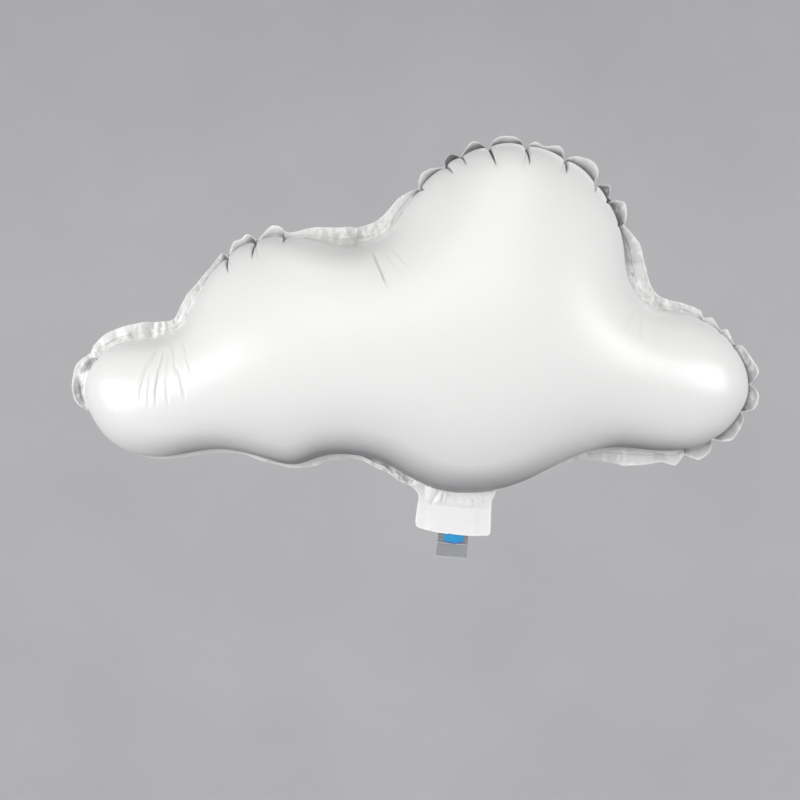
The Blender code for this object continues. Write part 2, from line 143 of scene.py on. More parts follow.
# single folds across the margin: x, z, height towards the viewer, half width,
# and how far each leans along the seam
folds = (
    (-4.5, -82, -0.9, 1.3, 3), (-56, -70.5, 0.8, 1.8, 2), (-63, -71.5, -0.8, 1.6, 2),
    (124, -64, 0.9, 1.2, 4), (-34, 57, 1.6, 2.6, -10), (-64, 60, -0.9, 1.4, 0), (160, 16, -1.1, 2.2, 3),
    (148, -66, -0.7, 1.6, 3), (-188, -8, 1.2, 2.0, 0), (-180, -2, -1.2, 2.4, 3),
    (-170, 0, 1.3, 2.4, -4), (-158, 2, -1.0, 2.6, 3), (-150, 4, 1.2, 2.2, 2), (-127, 31, 0.9, 1.8, 3),
    (128, 46, -0.8, 1.8, 2), (-198, -12, -2.2, 3.4, 3), (-200, -24, 1.8, 3.0, -4),
    (-200, -34, -1.4, 2.4, -3), (133, 27, 1.2, 2.4, 5), (146, 18, 1.0, 2.0, 4), (-48, 58, -1.0, 2.2, 4),
)

# painted shade on facets of the crumpled margin, painted light where the shade is below zero:
# x, z, half length along the seam, where they begin and end across the margin, and their shade
facetShades = (
    (-194, -16, 6, -0.2, 0.75, 0.17), (-198, -31, 7, 0.48, 0.7, 0.2), (-198, -29, 10, 0.6, 1.2, 0.15),
    (-195, -43, 2.6, 0.1, 1.2, 0.14), (-194, -5, 2, 0.1, 0.6, 0.05), (-171, 1, 1.4, 0.2, 0.6, 0.06),
    (-178, -2.6, 1.6, 0.1, 0.5, 0.07), (-128, 30, 2.6, 0.3, 0.9, 0.05), (-47, 58, 5, 0.5, 1.1, -0.06),
    (-33, 58, 4, 0.1, 0.6, 0.04), (142, 18, 1.8, 0.1, 0.9, 0.05), (160, 15, 2.6, 0.3, 0.9, 0.07),
    (126, -65, 1.2, 0.1, 0.9, -0.1), (147, -66, 4, 0.2, 0.9, 0.05), (126, 47, 3, 0.1, 1.1, 0.03),
)

film = {
    "wall": 0.12,
    "weldGap": 0.1,  # between the sheets where they are welded
    "fullness": 0.88,  # share of a pressed membrane's height
    "rimDepth": 18,  # how far in from the seam the rim's rings run, in plan
    "seamBlend": 30,  # run up the dome over which an offset of the seam fades
    "longestScallop": 44,  # creases further apart have a plain stretch between them
    "pleatFade": 15,  # run over which such a stretch is drawn in beside its creases
    "puffPower": 0.36,  # flatter puffs towards 0
    "leastPuff": 0.5,  # depth up to which puffs leave the dome's edge smooth
    "puffOut": 0.4,  # how far a full puff swells out
    "puffReach": 1.3,  # up the dome, in lengths of its creases
    "puffFall": 1.3,
    "grooveWidth": (0.4, 1.2),  # half width at the crease's end and at the seam
    "grooveFall": 0.7,
    "seed": 7,
}

# steps of the sheets' mesh
meshing = {
    "stretchSteps": 60,  # between two points of the outline
    "seamSamples": 4000,
    "ticks": 400,  # from crease to crease, to space the stations by
    "leastSteps": 4,
    "widestStep": 1.25,
    "creaseStep": 0.45,
    "creaseReach": 3.5,
    "leanReach": 1.5,
    "wrinkleStep": 0.7,
    "wrinkleReach": 15,
    "rimRings": 20,
    "marginShares": (
        0.04, 0.1, 0.17, 0.25, 0.33, 0.39, 0.43, 0.47, 0.54, 0.63, 0.73, 0.83, 0.91, 0.965, 1.0,
    ),
    "weldRing": 6,  # the margin's ring that the bead runs on
    "gridStep": 2.3,
    "fineStep": 0.72,
    "fineBand": 5.5,  # how far from a wrinkle the fine grid reaches
    "wrinkleHeight": 28,  # height of the dome there
    "gridClear": 0.8,  # between the grid and the rim's last ring
}


def unit(vectors):
    return vectors / np.linalg.norm(vectors, axis=-1, keepdims=True)


def bell(values, high=1, width=1):
    return high * np.exp(-((values / width) ** 2))


def smoothStep(values):
    values = np.clip(values, 0, 1)
    return values * values * (3 - 2 * values)


def rise(values, band):
    # 0 before the place where a band begins and 1 past its run, which may lead down
    return smoothStep((values - band[0]) / band[1])


def smoothLoop(points, count):
    # closed cubic through the points, with slopes that keep its bend continuous, then evenly spaced
    knots = np.array(points, float)
    size = len(knots)
    chord = np.linalg.norm(np.roll(knots, -1, 0) - knots, axis=1)
    before = np.roll(chord, 1)
    system = np.zeros((size, size))
    for i in range(size):
        system[i, i - 1] = chord[i]
        system[i, i] = 2 * (chord[i] + before[i])
        system[i, (i + 1) % size] = before[i]
    slope = (np.roll(knots, -1, 0) - knots) / chord[:, None]
    right = 3 * (slope * before[:, None] + np.roll(slope, 1, 0) * chord[:, None])
    tangent = np.linalg.solve(system, right)
    fine = []
    for i in range(size):
        j = (i + 1) % size
        for t in np.linspace(0, 1, meshing["stretchSteps"], endpoint=False):
            fine.append(
                (2 * t**3 - 3 * t**2 + 1) * knots[i]
                + (t**3 - 2 * t**2 + t) * chord[i] * tangent[i]
                + (3 * t**2 - 2 * t**3) * knots[j]
                + (t**3 - t**2) * chord[i] * tangent[j]
            )
    return evenLoop(np.array(fine), count)


def evenLoop(loop, count):
    # the same loop in even steps
    closed = np.vstack([loop, loop[:1]])
    along = np.concatenate([[0], np.cumsum(np.linalg.norm(np.diff(closed, axis=0), axis=1))])
    places = np.linspace(0, along[-1], count, endpoint=False)
    return np.column_stack([np.interp(places, along, closed[:, k]) for k in range(2)])


seamLoop = smoothLoop(cloudEdge, meshing["seamSamples"])
seamStep = np.linalg.norm(np.diff(np.vstack([seamLoop, seamLoop[:1]]), axis=0), axis=1)
seamAlong = np.concatenate([[0], np.cumsum(seamStep)])
seamLength = seamAlong[-1]
seamAhead = unit(np.roll(seamLoop, -1, 0) - np.roll(seamLoop, 1, 0))
seamOutward = np.column_stack([-seamAhead[:, 1], seamAhead[:, 0]])


def placeOnSeam(x, z):
    # how far along the seam its point nearest to x and z is
    return seamAlong[np.argmin(np.hypot(seamLoop[:, 0] - x, seamLoop[:, 1] - z))]


def seamGap(places, start, shift=0):
    # how far places on the seam are past one of them
    return np.mod(places - start - shift + seamLength / 2, seamLength) - seamLength / 2


def onSeam(places):
    # points of the seam, and the way out from each
    places = np.mod(places, seamLength)

    def read(table):
        closed = np.vstack([table, table[:1]])
        return np.column_stack([np.interp(places, seamAlong, closed[:, k]) for k in range(2)])

    return read(seamLoop), unit(read(seamOutward))


# fine wrinkles that run down the dome from the three notches in the outline:
# depth, half width, then x and z of their points as the camera sees them
wrinkles = (
    (0.46, 0.7, (-154.2, -4.5), (-161.6, -14.2), (-166.9, -28.5)),
    (0.55, 0.7, (-153.6, -5.0), (-162.1, -18.4), (-164.8, -30.2), (-165.1, -38)),
    (0.75, 0.75, (-150.2, -5.0), (-154.1, -19.5), (-155.7, -30.2), (-155.4, -42)),
    (0.50, 0.7, (-145.4, -2.6), (-144.7, -14.2), (-143.2, -24)),
    (0.46, 0.7, (-139.5, -0.5), (-136.9, -12), (-134.2, -21)),
    (0.50, 0.9, (-143.2, -15), (-140.7, -23.8), (-137.6, -38)),
    (0.38, 0.8, (-148.2, -7), (-149.4, -26), (-148.0, -43)),
    (0.32, 0.8, (-158.6, -20), (-160.2, -31), (-160.0, -42)),
    (1.00, 0.9, (-25.4, 53), (-16.1, 30.4)),
    (0.40, 0.7, (-14.4, 55), (-4.6, 44.2)),
    (0.28, 0.7, (-18.6, 52), (-6.4, 38)),
    (0.30, 0.7, (132.6, 20), (125.4, 5)),
    (0.28, 0.7, (136, 17), (135, -1)),
    (0.20, 0.7, (143, 13.4), (153, 12)),
)
wrinkleForm = {
    "fadeIn": 6,  # how fast a wrinkle begins and ends along its length
    "fadeOut": 3.5,
    "crest": 0.5,  # height of the fold beside it, as a share of its depth
    "crestOff": 1.8,  # and how many half widths away it is
    "fullHeight": 12,  # height of the dome from which wrinkles have their full depth
    # painted shade along each wrinkle: how dark, and its width as a share of the wrinkle's
    "shade": 0.08,
    "shadeWidth": 0.75,
}

creaseTable = np.array(creases)
creaseSpots = np.array([placeOnSeam(*crease[:2]) for crease in creases])
creaseOrder = np.argsort(creaseSpots)
spots = creaseSpots[creaseOrder]
stations = []
for start, end in zip(spots, np.append(spots[1:], spots[0] + seamLength)):
    # from crease to crease, closer together near both of them and above the wrinkles
    ticks = np.linspace(start, end, meshing["ticks"])
    near = bell(np.minimum(ticks - start, end - ticks) / meshing["creaseReach"])
    for spot, (length, lean) in zip(creaseSpots, creaseTable[:, 4:6]):
        # also where a leaning groove runs
        past = np.abs(seamGap(ticks, spot) - length * lean / 2) - abs(length * lean) / 2
        near = np.maximum(near, bell(np.maximum(past, 0) / meshing["leanReach"]))
    widest = np.full(len(ticks), meshing["widestStep"])
    for wrinkle in wrinkles:
        gap = np.linalg.norm(onSeam(ticks)[0] - wrinkle[2], axis=1)
        widest[gap < meshing["wrinkleReach"]] = meshing["wrinkleStep"]
    wanted = 1 / (widest + (meshing["creaseStep"] - widest) * near)
    amount = np.concatenate([[0], np.cumsum((wanted[1:] + wanted[:-1]) / 2 * np.diff(ticks))])
    steps = max(meshing["leastSteps"], int(round(amount[-1])))
    stations += list(np.interp(np.arange(steps) * amount[-1] / steps, amount, ticks))
stations = np.sort(np.mod(stations, seamLength))
stationCount = len(stations)
edge, outward = onSeam(stations)

# how far each station is past one crease and short of the next, and which creases these are
behindIndex = (np.searchsorted(spots, stations, side="right") - 1) % len(spots)
aheadIndex = (behindIndex + 1) % len(spots)
behind = np.mod(stations - spots[behindIndex], seamLength)
ahead = np.mod(spots[aheadIndex] - stations, seamLength)
creaseBehind, creaseAhead = creaseOrder[behindIndex], creaseOrder[aheadIndex]
run = behind + ahead
short = run < film["longestScallop"]
across = np.clip(behind / run, 0, 1)
puff = np.where(
    short,
    np.sin(np.pi * across) ** film["puffPower"],
    np.clip(np.minimum(behind, ahead) / film["pleatFade"], 0, 1) ** film["puffPower"],
)
blend = np.where(short, across, (behind > ahead).astype(float))


def betweenCreases(column):
    # a value of the creases, blended across each scallop
    return creaseTable[creaseBehind, column] * (1 - blend) + creaseTable[creaseAhead, column] * blend


puffDepth, creaseRun = betweenCreases(2), betweenCreases(4)
nearer = np.where(behind < ahead, creaseBehind, creaseAhead)
pastCrease = np.where(behind < ahead, behind, -ahead)
grooveDepth = creaseTable[nearer, 3]
# 1 where the dome's edge is drawn into full puffs
petalShare = short * np.clip(puffDepth - film["leastPuff"], 0, 1)

print("seam", round(seamLength, 1), "mm,", stationCount, "stations")


def readRound(known):
    # values known at some places on the seam, read in between at every station
    known = sorted(known)
    known = [(known[-1][0] - seamLength, known[-1][1]), *known, (known[0][0] + seamLength, known[0][1])]
    return np.interp(stations, [k[0] for k in known], [k[1] for k in known])


def alongSeam(rows, column):
    return readRound([(placeOnSeam(*row[:2]), row[column]) for row in rows])


def insideLoop(points, loop, chunk=4000):
    result = np.zeros(len(points), bool)
    x0, z0 = loop[:, 0], loop[:, 1]
    x1, z1 = np.roll(x0, -1), np.roll(z0, -1)
    for a in range(0, len(points), chunk):
        x = points[a : a + chunk, 0][:, None]
        z = points[a : a + chunk, 1][:, None]
        spans = (z0 > z) != (z1 > z)
        with np.errstate(divide="ignore", invalid="ignore"):
            crossed = spans & (x < x0 + (z - z0) * (x1 - x0) / (z1 - z0))
        result[a : a + chunk] = crossed.sum(1) % 2 == 1
    return result


def clearance(points, loop, chunk=2000):
    # how far each point is from the nearest one of the loop
    result = np.empty(len(points))
    for a in range(0, len(points), chunk):
        part = points[a : a + chunk]
        result[a : a + chunk] = np.sqrt(((part[:, None, :] - loop[None, :, :]) ** 2).sum(2).min(1))
    return result


def staggeredGrid(low, high, step, rowShare=0.866):
    # points of a grid of even triangles
    rows = []
    for j in range(int((high[1] - low[1]) / (step * rowShare)) + 2):
        xs = np.arange(low[0] + step / 2 * (j % 2), high[0] + step, step)
        rows.append(np.column_stack([xs, np.full(len(xs), low[1] + j * step * rowShare)]))
    return np.vstack(rows)


def fillLoop(grid, loop, clear):
    # the points of a grid that are inside a loop and clear of it
    grid = grid[insideLoop(grid, loop)]
    return grid[clearance(grid, loop) > clear]


def besideLine(points, line):
    # for each point: how far it is to the right of a line of points, and its share of the way along it
    along = np.concatenate([[0], np.cumsum([math.dist(a, b) for a, b in zip(line[:-1], line[1:])])])
    side = np.full(len(points), np.inf)
    share = np.zeros(len(points))
    for k, (a, b) in enumerate(zip(line[:-1], line[1:])):
        a, b = np.array(a), np.array(b)
        ahead = (b - a) / np.linalg.norm(b - a)
        from0 = points - a
        run = np.clip(from0 @ ahead, 0, np.linalg.norm(b - a))
        gap = from0 - run[:, None] * ahead
        far = np.hypot(gap[:, 0], gap[:, 1])
        nearer = far < np.abs(side)
        turned = from0[:, 0] * ahead[1] - from0[:, 1] * ahead[0]
        side = np.where(nearer, np.where(turned > 0, far, -far), side)
        share = np.where(nearer, (along[k] + run) / along[-1], share)
    return side, share


def asSeen(points, height):
    # where points at this height above the seam's plane seem to lie on it, from the camera
    centre = np.array(view["centre"])
    return centre + (points - centre) * np.reshape(view["distance"] / (view["distance"] - height), (-1, 1))


def wrinklePush(points):
    # how far the wrinkles push each point into the dome, and the painted shade along them
    form = wrinkleForm
    push = np.zeros(len(points))
    shade = np.zeros(len(points))
    for depth, width, *line in wrinkles:
        side, share = besideLine(points, line)
        window = np.clip(form["fadeIn"] * share, 0, 1) * np.clip(form["fadeOut"] * (1 - share), 0, 1)
        push += depth * window * bell(side / width)
        push -= form["crest"] * depth * window * bell((side - form["crestOff"] * width) / width)
        shade += form["shade"] * depth * window * bell(side / width / form["shadeWidth"])
    return push, shade


def cleanDelaunay(points, rim, nearest=1e-7):
    # triangles over the points inside the loop that the first of them make, keeping the loop's edges
    fixed = [(i, (i + 1) % rim) for i in range(rim)]
    made = delaunay_2d_cdt([tuple(p) for p in points], fixed, [], 0, nearest)
    if len(made[0]) != len(points):
        raise ValueError("the loop crosses itself in the plan")
    source = [origin[0] for origin in made[3]]
    triangles = np.array([[source[v] for v in face] for face in made[2]])
    return triangles[insideLoop(points[triangles].mean(1), points[:rim])]


def ringQuads(ringA, ringB, closed=True):
    quads = list(zip(ringA, np.roll(ringA, -1), np.roll(ringB, -1), ringB))
    return quads if closed else quads[:-1]


def splitQuads(quads):
    quads = np.array(quads)
    return np.vstack([quads[:, [0, 1, 2]], quads[:, [0, 2, 3]]])


def conjugate(pairs, weights, diagonal, right, rounds=4000, target=1e-9):
    # solves the sparse symmetric system by conjugate gradients
    first, second = pairs.T
    size = len(diagonal)

    def apply(x):
        out = diagonal * x
        out += np.bincount(first, weights * x[second], minlength=size)
        out += np.bincount(second, weights * x[first], minlength=size)
        return out

    x = np.zeros(size)
    rest = right.copy()
    scaled = rest / diagonal
    step = scaled.copy()
    energy = startEnergy = rest @ scaled
    for _ in range(rounds):
        pushed = apply(step)
        share = energy / (step @ pushed)
        x += share * step
        rest -= share * pushed
        scaled = rest / diagonal
        after = rest @ scaled
        if after < target**2 * startEnergy:
            break
        step = scaled + after / energy * step
        energy = after
    return x


def membrane(points, triangles, held, values=None, leastArea=1e-9):
    # sag of an evenly loaded membrane held at its rim, or the smoothest fill between values held there
    a, b, c = (points[triangles[:, k]] for k in range(3))
    double = (b[:, 0] - a[:, 0]) * (c[:, 1] - a[:, 1]) - (b[:, 1] - a[:, 1]) * (c[:, 0] - a[:, 0])
    area = np.maximum(np.abs(double) / 2, leastArea)
    opposite = [c - b, a - c, b - a]
    size = len(points)
    diagonal, load, right = np.zeros((3, size))
    pairs, weights = [], []
    for i, j in ((0, 1), (1, 2), (2, 0)):
        pairs.append(triangles[:, [i, j]])
        weights.append((opposite[i] * opposite[j]).sum(1) / (4 * area))
        diagonal += np.bincount(triangles[:, i], (opposite[i] ** 2).sum(1) / (4 * area), minlength=size)
        load += np.bincount(triangles[:, i], area / 3, minlength=size)
    pairs, weights = np.vstack(pairs), np.concatenate(weights)
    if values is None:
        out, right = np.zeros(size), load
    else:
        out = np.where(held, values, 0.0)
        right -= np.bincount(pairs[:, 0], weights * out[pairs[:, 1]], minlength=size)
        right -= np.bincount(pairs[:, 1], weights * out[pairs[:, 0]], minlength=size)
    free = ~held
    number = np.full(size, -1)
    number[free] = np.arange(free.sum())
    both = free[pairs].all(1)
    out[free] = conjugate(number[pairs[both]], weights[both], diagonal[free], right[free])
    return out


# the dome: rings near the seam, then a finer grid round the wrinkles and a wide one elsewhere
ringCount = meshing["rimRings"]
rimCount = ringCount * stationCount
depths = film["rimDepth"] * (1 - np.cos(np.linspace(0, math.pi / 2, ringCount)))
rimPlan = np.stack([edge - outward * d for d in depths])
innerRing = rimPlan[-1]
low, high = innerRing.min(0), innerRing.max(0)
coarse = staggeredGrid(low, high, meshing["gridStep"])
fine = staggeredGrid(low, high, meshing["fineStep"])


def nearWrinkle(points):
    seen = asSeen(points, meshing["wrinkleHeight"])
    near = np.zeros(len(points), bool)
    for depth, width, *line in wrinkles:
        near |= np.abs(besideLine(seen, line)[0]) < meshing["fineBand"]
    return near


grid = np.vstack([coarse[~nearWrinkle(coarse)], fine[nearWrinkle(fine)]])
grid = fillLoop(grid, innerRing, meshing["gridClear"])
domePlan = np.vstack([rimPlan.reshape(-1, 2), grid])
ringIndex = np.arange(rimCount).reshape(ringCount, stationCount)
rimFaces = [q for k in range(ringCount - 1) for q in ringQuads(ringIndex[k + 1], ringIndex[k])]
bodyTriangles = cleanDelaunay(np.vstack([innerRing, grid]), stationCount) + rimCount - stationCount
print("dome points", len(domePlan), "rim quads", len(rimFaces), "body triangles", len(bodyTriangles))

domeTriangles = np.vstack([splitQuads(rimFaces), bodyTriangles])
held = np.zeros(len(domePlan), bool)
held[:stationCount] = True
sag = membrane(domePlan, domeTriangles, held)
height = film["fullness"] * np.sqrt(2 * np.maximum(sag, 0))
print("half thickness", round(height.max(), 1), "mm")

# puffs and creases push the rim in along its own normal
rimHeight = height[:rimCount].reshape(ringCount, stationCount)
rimPoint = np.concatenate([rimPlan, rimHeight[..., None]], axis=2)
alongRim = np.roll(rimPoint, -1, 1) - np.roll(rimPoint, 1, 1)
upRim = np.empty_like(rimPoint)
upRim[1:-1] = rimPoint[2:] - rimPoint[:-2]
upRim[0] = rimPoint[1] - rimPoint[0]
upRim[-1] = rimPoint[-1] - rimPoint[-2]
normal = unit(np.cross(upRim, alongRim))
climbed = np.cumsum(np.linalg.norm(np.diff(rimPoint, axis=0), axis=2), axis=0)
climb = np.concatenate([np.zeros((1, stationCount)), climbed])
puffFade = np.clip(1 - depths[:, None] / (creaseRun * film["puffReach"]), 0, 1) ** film["puffFall"]
grooveFade = np.clip(1 - depths[:, None] / creaseRun, 0, 1)


def wedge(widths):
    # a groove that narrows from the seam to its end
    gap = pastCrease - creaseTable[nearer, 5] * depths[:, None]
    return bell(gap, width=widths[0] + (widths[1] - widths[0]) * grooveFade)


push = (puffDepth * (1 - puff) - film["puffOut"] * petalShare * puff) * puffFade
push = push + grooveDepth * wedge(film["grooveWidth"]) * grooveFade ** film["grooveFall"]
facing = np.sign((normal[..., :2] * outward).sum(2).mean())
rimPoint = rimPoint - facing * normal * push[..., None]
rimPoint[0, :, 2] = 0
rimPoint[..., 2] = np.maximum(rimPoint[..., 2], 0)


# the neck: the sheets run on past the seam as a tab round the valve
neck = {
    "from": (48, -90.6),  # where the tab leaves the seam, on its right and on its left
    "to": (-1, -83),
    "grid": 0.75,
    "gridClear": 0.4,
    "centre": 22.8,
    "sleeve": 1.05,  # how far a layer stands off where the valve passes
    "sleeveSide": (17.5, -5),  # how far from the centre its welds are, and its run up inwards
    "step": 0.8,  # how far the layers step apart above the weld
    "stepRun": 0.9,  # height over which they do
    "stepLeft": (8, 5),  # x where they start to, and the run it takes
    "throat": 3.2,
    "throatHalf": 23,
    "throatRun": 12,  # height over which it opens
    "throatTop": 1.2,
    "throatPower": 1.3,
    "foldRise": 0.5,  # of the whole gathered band
    "foldFade": 0.6,
    "puckerPast": 0.5,  # how far a pucker runs past its ends, and its fade there
    "puckerFade": 1.5,
}
# its outline, clockwise from its right top corner: x, z
neckOutline = (
    (48, -92.4), (45.9, -96.8), (45.5, -107.6), (45.2, -115.2), (44.9, -116.6), (43.8, -117.5),
    (32.6, -117.5), (24.5, -116.7), (13.8, -115.6), (6.8, -114), (2.2, -112.7), (0.8, -111.6),
    (0.3, -110), (0.3, -107.6), (1.2, -100.6), (2.2, -95.4), (2.1, -93), (1.1, -91), (-1.2, -88.6),
)
# puckers where the throat is gathered above the tab's weld:
# x, z at both ends, height towards the viewer, half width on its left and on its right, how dark its
# painted shade is
puckers = (
    (15.6, -89.6, 9.8, -98.6, -1.3, 1.9, 0.4, 0.06), (18.6, -90.6, 16.6, -98.2, 1.1, 0.6, 1.2, 0),
    (17.6, -91.4, 15.9, -98.0, -0.8, 0.35, 0.5, 0.12), (15.8, -93.6, 13.2, -97.8, 0.6, 0.8, 0.5, 0),
    (22.4, -94.2, 21.6, -98.4, 0.6, 0.4, 1.4, 0), (26.6, -97.2, 26.2, -99.6, -0.5, 0.5, 0.6, 0.08),
    (29.5, -95.6, 28.6, -99.4, 0.6, 1.6, 0.35, 0), (32.6, -94.6, 33.2, -99.8, 0.9, 1.6, 0.4, 0),
    (34.0, -95.4, 35.0, -97.9, -0.8, 0.4, 0.5, 0.2), (35.0, -97.9, 34.4, -100.4, -0.8, 0.4, 0.5, 0.2),
    (37.2, -95.0, 37.6, -99.0, 0.8, 0.8, 0.8, 0), (35.6, -93.8, 38.8, -94.9, -0.6, 0.4, 0.4, 0.12),
    (38.8, -94.9, 40.3, -97.6, -0.6, 0.4, 0.4, 0.12), (41.4, -95, 42.4, -98.8, 0.5, 0.5, 1.4, 0),
    (43.4, -90.8, 46.6, -93.6, 0.6, 0.5, 1.0, 0), (9.4, -99.5, 10.6, -112, -0.22, 2.0, 0.5, 0),
)
# upper edge of the gathered folds, where the throat's plain band ends: x and z
foldLine = (
    (12, -88), (18, -91.6), (25.3, -96.6), (29.6, -95.6), (33.8, -94.1), (36.2, -93.6), (40.3, -94.6),
    (42.4, -91.6), (48, -90),
)
# the weld across the tab, above which the layers stand apart: x and z
stepLine = ((4, -96.5), (11.2, -98.3), (19.5, -99.5), (31, -100.6), (44.2, -101), (50, -101))


def lineAbove(points, line):
    # how far each point lies above a line of x and z
    return points[:, 1] - np.interp(points[:, 0], [p[0] for p in line], [p[1] for p in line])


def puckerHeight(points):
    # height of the gathered folds, and the painted shade in them
    under = smoothStep(-lineAbove(points, foldLine) / neck["foldFade"])
    under = under * smoothStep(lineAbove(points, stepLine) / neck["foldFade"])
    total = neck["foldRise"] * under
    dark = np.zeros(len(points))
    past, fade = neck["puckerPast"], neck["puckerFade"]
    for x0, z0, x1, z1, up, leftWidth, rightWidth, shade in puckers:
        length = math.dist((x0, z0), (x1, z1))
        ahead = np.array([(x1 - x0) / length, (z1 - z0) / length])
        from0 = points - (x0, z0)
        run = from0 @ ahead
        side = from0 @ np.array([-ahead[1], ahead[0]])  # to the right of a line that runs downwards
        ends = smoothStep((run + past) / fade) * smoothStep((length + past - run) / fade)
        near = ends * bell(side / np.where(side < 0, leftWidth, rightWidth))
        total += up * near
        dark += shade * near
    return total, dark


def neckSwell(points):
    # how far the layers stand off the neck's middle: the sleeve round the valve and the throat above it
    x = points[:, 0] - neck["centre"]
    sleeve = neck["sleeve"] * rise(np.abs(x), neck["sleeveSide"])
    over = lineAbove(points, stepLine)
    above = np.clip(over / neck["throatRun"], 0, neck["throatTop"])
    spread = np.clip(1 - (x / neck["throatHalf"]) ** 2, 0, 1)
    throat = neck["throat"] * above ** neck["throatPower"] * spread
    step = neck["step"] * smoothStep(over / neck["stepRun"]) * rise(points[:, 0], neck["stepLeft"])
    return sleeve + throat + step * spread


# the neck's stretch of the seam runs over the outline's first point
inNeck = (stations >= placeOnSeam(*neck["from"])) | (stations <= placeOnSeam(*neck["to"]))
firstOutside = np.nonzero(~inNeck & np.roll(inNeck, 1))[0][0]
turned = np.roll(np.arange(stationCount), -firstOutside)
marginOrder = turned[~inNeck[turned]]
neckOrder = np.concatenate([[marginOrder[-1]], turned[inNeck[turned]], [marginOrder[0]]])

# the seam sits back where a lobe's rim hides its margin, and the neck's throat runs on into the dome
seamBack = alongSeam(margin, 3) * ~inNeck
middleFade = 1 - smoothStep(climb / film["seamBlend"])
middleOfRim = seamBack * middleFade
swellHere = np.zeros(stationCount)
swellHere[neckOrder[1:-1]] = neckSwell(rimPoint[0, neckOrder[1:-1], :2])
rimPoint[..., 2] = np.hypot(rimPoint[..., 2], swellHere * middleFade)
seamPoint = rimPoint[0, :, :2]
domePlan[:rimCount] = rimPoint[..., :2].reshape(-1, 2)
height[:rimCount] = rimPoint[..., 2].reshape(-1)
pushed, wrinklePaintedShade = wrinklePush(asSeen(domePlan, height))
height = np.maximum(height - pushed * np.clip(height / wrinkleForm["fullHeight"], 0, 1), 0)
domeMiddle = np.zeros(len(domePlan))
domeMiddle[:rimCount] = middleOfRim.reshape(-1)


# welded margin outside the seam; pairs are its values in the flat bays and in the petals
marginForm = {
    "leastReach": 0.5,
    "flatFall": 0.45,  # share of the bend back that is left between the puffs
    "petalFall": 6,  # bend back from which a lobe has full petals
    "curl": (0.1, 0.8),
    "facets": (0.9, 0.5),
    "facetCells": (8, 3.7),
    "midFacets": 0.6,
    "waves": 0.5,
    "waveCell": 16,
    "foldRise": 2.5,  # how fast folds and crinkles begin at the seam
    "crinkleRise": 4,
    "clearOfRim": 0.45,
    "clearRise": 3,
    "leastStep": 0.03,  # outwards from ring to ring
}

# short crisp folds; pairs are the least and the most of a random value
crinkle = {
    "count": 260,
    "height": 0.95,
    "width": 1.3,
    "length": (4, 11),
    "turn": 28,  # degrees to both sides
    "place": (0.1, 0.9),  # share of the way across the margin
    "strength": (0.35, 1),
    "spread": (0.7, 1.3),
    "acrossInPetals": 0.9,  # share of the folds that run across the petals
    "shorterInPetals": 0.3,
    "window": 9,  # how far along the seam one can reach
}


def seamNoise(cell, random, crisp, fewest=4):
    # random heights round the seam: straight from knot to knot, as stiff film folds, or rounded
    knots = random.uniform(-1, 1, max(fewest, int(round(seamLength / cell))))
    where = stations / seamLength * len(knots)
    if crisp:
        return np.interp(where, np.arange(len(knots) + 1), np.append(knots, knots[0]))
    base = np.floor(where).astype(int)
    share = smoothStep(where - base)
    return knots[base % len(knots)] * (1 - share) + knots[(base + 1) % len(knots)] * share


def cutReach():
    # reach of the cut edge beyond the smooth seam, at every station
    known = []
    for crease, *corners in cutEdge:
        known += [((creaseSpots[crease] + along) % seamLength, value) for along, value in corners]
    found = readRound(known)
    return (np.roll(found, 1) + 4 * found + np.roll(found, -1)) / 6  # takes the points off the corners


def foldHeight(share):
    # what the single folds add towards the viewer, at one share of the way across the margin
    total = np.zeros(stationCount)
    for x, z, up, width, lean in folds:
        gap = np.abs(seamGap(stations, placeOnSeam(x, z), lean * share))
        total += up * np.clip(1 - gap / width, 0, 1)
    return total * min(1, marginForm["foldRise"] * share)


def crinkleHeight(reachHere, petalHere, random):
    # folds all over the margin, along the seam in its flat bays and across it in the petals
    places = np.stack(np.broadcast_arrays(stations, reachHere * shares[:, None]), axis=2).reshape(-1, 2)
    total = np.zeros(len(places))
    for _ in range(crinkle["count"]):
        start = random.uniform(0, seamLength)
        petalness = np.interp(start, stations, petalHere)
        swing = random.uniform(-crinkle["turn"], crinkle["turn"])
        crosses = random.uniform(0, 1) < petalness * crinkle["acrossInPetals"]
        turn = math.radians(swing + (90 if crosses else 0))
        length = random.uniform(*crinkle["length"]) * (1 - crinkle["shorterInPetals"] * petalness)
        outwards = random.uniform(*crinkle["place"]) * np.interp(start, stations, reachHere)
        middle = np.array([start, outwards])
        ahead = np.array([math.cos(turn), math.sin(turn)])
        near = np.nonzero(np.abs(places[:, 0] - start) < crinkle["window"])[0]
        from0 = places[near] - middle
        run, side = np.abs(from0 @ ahead), np.abs(from0 @ np.array([-ahead[1], ahead[0]]))
        up = random.uniform(*crinkle["strength"]) * random.choice((-1, 1)) * crinkle["height"]
        width = crinkle["width"] * random.uniform(*crinkle["spread"])
        total[near] += up * np.clip(1 - side / width, 0, 1) * smoothStep(2 * (1 - 2 * run / length))
    return total.reshape(len(shares), -1)


